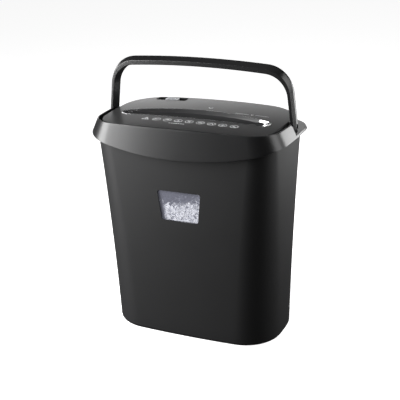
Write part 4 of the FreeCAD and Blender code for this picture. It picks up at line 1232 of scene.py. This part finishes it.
def makeSwitch(v):
    x0, x1, y0, y1, radius = deckValues["switch"]
    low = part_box("mode_switch_base")[0].z
    steps = 8

    def ringAt(inset):
        return boxOutline(x0 + inset, x1 - inset, y0 + inset, y1 - inset, radius - inset, steps)

    drop, wide = v["rimDrop"], v["rimWide"]
    rings = [atHeight(ringAt(0), low), onDeck(ringAt(0), -v["sideDrop"]), onDeck(ringAt(drop), -drop),
             onDeck(ringAt(wide), -drop), atHeight(ringAt(wide), low + v["well"])]
    tray = evenNormals(linkMesh("switchTray", *skin(rings)))
    # the plate is shorter than the tray: the black floor left bare at both ends stands in for the shade
    # there, painted shade
    shadeEndX, inY = v["plateInset"]
    outline = boxOutline(x0 + shadeEndX, x1 - shadeEndX, y0 + inY, y1 - inY, v["plateCorner"], steps)
    plate = linkMesh("switchPlate", *skin([atHeight(outline, low + z) for z in v["plateZ"]]))
    return tray, plate


switchTray, switchPlate = makeSwitch(switchValues)
paintAs(switchTray, "switch_plastic")
paintAs(switchPlate, "slider_silver")
for piece in (switchTray, switchPlate):
    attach(piece, "head")
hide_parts("mode_switch_base")


markValues = {
    "rise": 0.08 * mm,
    "line": 0.9 * mm,
    "rowY": -51.0 * mm,
    "firstX": -75.0 * mm,
    "step": 20.0 * mm,
    "ovalX": 7.2 * mm,
    "ovalY": 6.6 * mm,
    "glyph": 1.25 * mm,
    "dashes": 7,
    "dashX": -26 * mm,
    "dashY": -65 * mm,
    "dashStep": 4.2 * mm,
    "dash": 2.6 * mm,
    "dashLine": 2.0 * mm,
    # strokes from one end to the other: the first and the last three in millimetres
    "triangle": ((-6, -4, 0, 5), (0, 5, 6, -4), (-6.5, -4, 6.5, -4), (0, -2, 0, 2.5)),
    "glyphs": (((-3, -2, 3, 2), (-3, 2, 0, 0)), ((-3, 0, 3, 0), (-2, 2, 2, 2)),
               ((-3, -2, 3, -2), (0, -2, 0, 3)), ((-2, -2.5, 2, 2.5), (-2, 2.5, 2, -2.5)),
               ((-3, 1, 3, 1), (-3, -1, 3, -1)), ((-3, -2, 0, 2.4), (0, 2.4, 3, -2)),
               ((0, -3, 0, 3), (-3, 0, 3, 0)), ((-3, 2, 3, -2), (-3, -2, 3, -2))),
    "sheetLine": ((60, 17, 84, 17), (96, 17, 120, 17)),
    "sheetTip": ((88, 19, 90, 15), (90, 15, 92, 19)),
    "feedArrow": ((4, 34, 8, 30), (8, 30, 12, 34)),
}


def flatPiece(outline, hole=None):
    low = -0.02 * mm
    high = markValues["rise"]
    if hole is None:
        return linkMesh("markPart", *skin([onDeck(outline, low), onDeck(outline, high)]))
    rings = [onDeck(outline, low), onDeck(outline, high), onDeck(hole, high), onDeck(hole, low)]
    return linkMesh("markPart", *skin(rings, loop=True))


def ovalMark(cx, cy, rx, ry, line):
    unit = arcPoints(0, 0, 1, 0, 2 * math.pi, 32)
    return flatPiece(*([(cx + (rx - cut) * x, cy + (ry - cut) * y) for x, y in unit] for cut in (0, line)))


def barMark(x0, y0, x1, y1, line):
    across = Vector((y0 - y1, x1 - x0)).normalized() * line / 2
    a = Vector((x0, y0))
    b = Vector((x1, y1))
    return flatPiece([a - across, b - across, b + across, a + across])


def makeMarks(v):
    parts = []
    rowX, rowY, line = v["firstX"], v["rowY"], v["line"]

    def bars(strokes, cx, cy, scale, weight):
        for x0, y0, x1, y1 in strokes:
            ends = (cx + x0 * scale, cy + y0 * scale, cx + x1 * scale, cy + y1 * scale)
            parts.append(barMark(*ends, line * weight))

    bars(v["triangle"], rowX, rowY, mm, 1.3)
    for k, strokes in enumerate(v["glyphs"]):
        cx = rowX + v["step"] * (k + 1)
        parts.append(ovalMark(cx, rowY, v["ovalX"], v["ovalY"], line))
        bars(strokes, cx, rowY, v["glyph"], 1.4)
    for k in range(v["dashes"]):
        x = v["dashX"] + v["dashStep"] * k
        parts.append(barMark(x, v["dashY"], x + v["dash"], v["dashY"], v["dashLine"]))
    for name, weight in (("sheetLine", 1), ("sheetTip", 1.4), ("feedArrow", 2)):
        bars(v[name], 0, 0, mm, weight)
    return joinObjects("deckMarks", parts)


marks = paintAs(makeMarks(markValues), "slider_silver", printGrey)
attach(marks, "head")
print("switch and marks made")
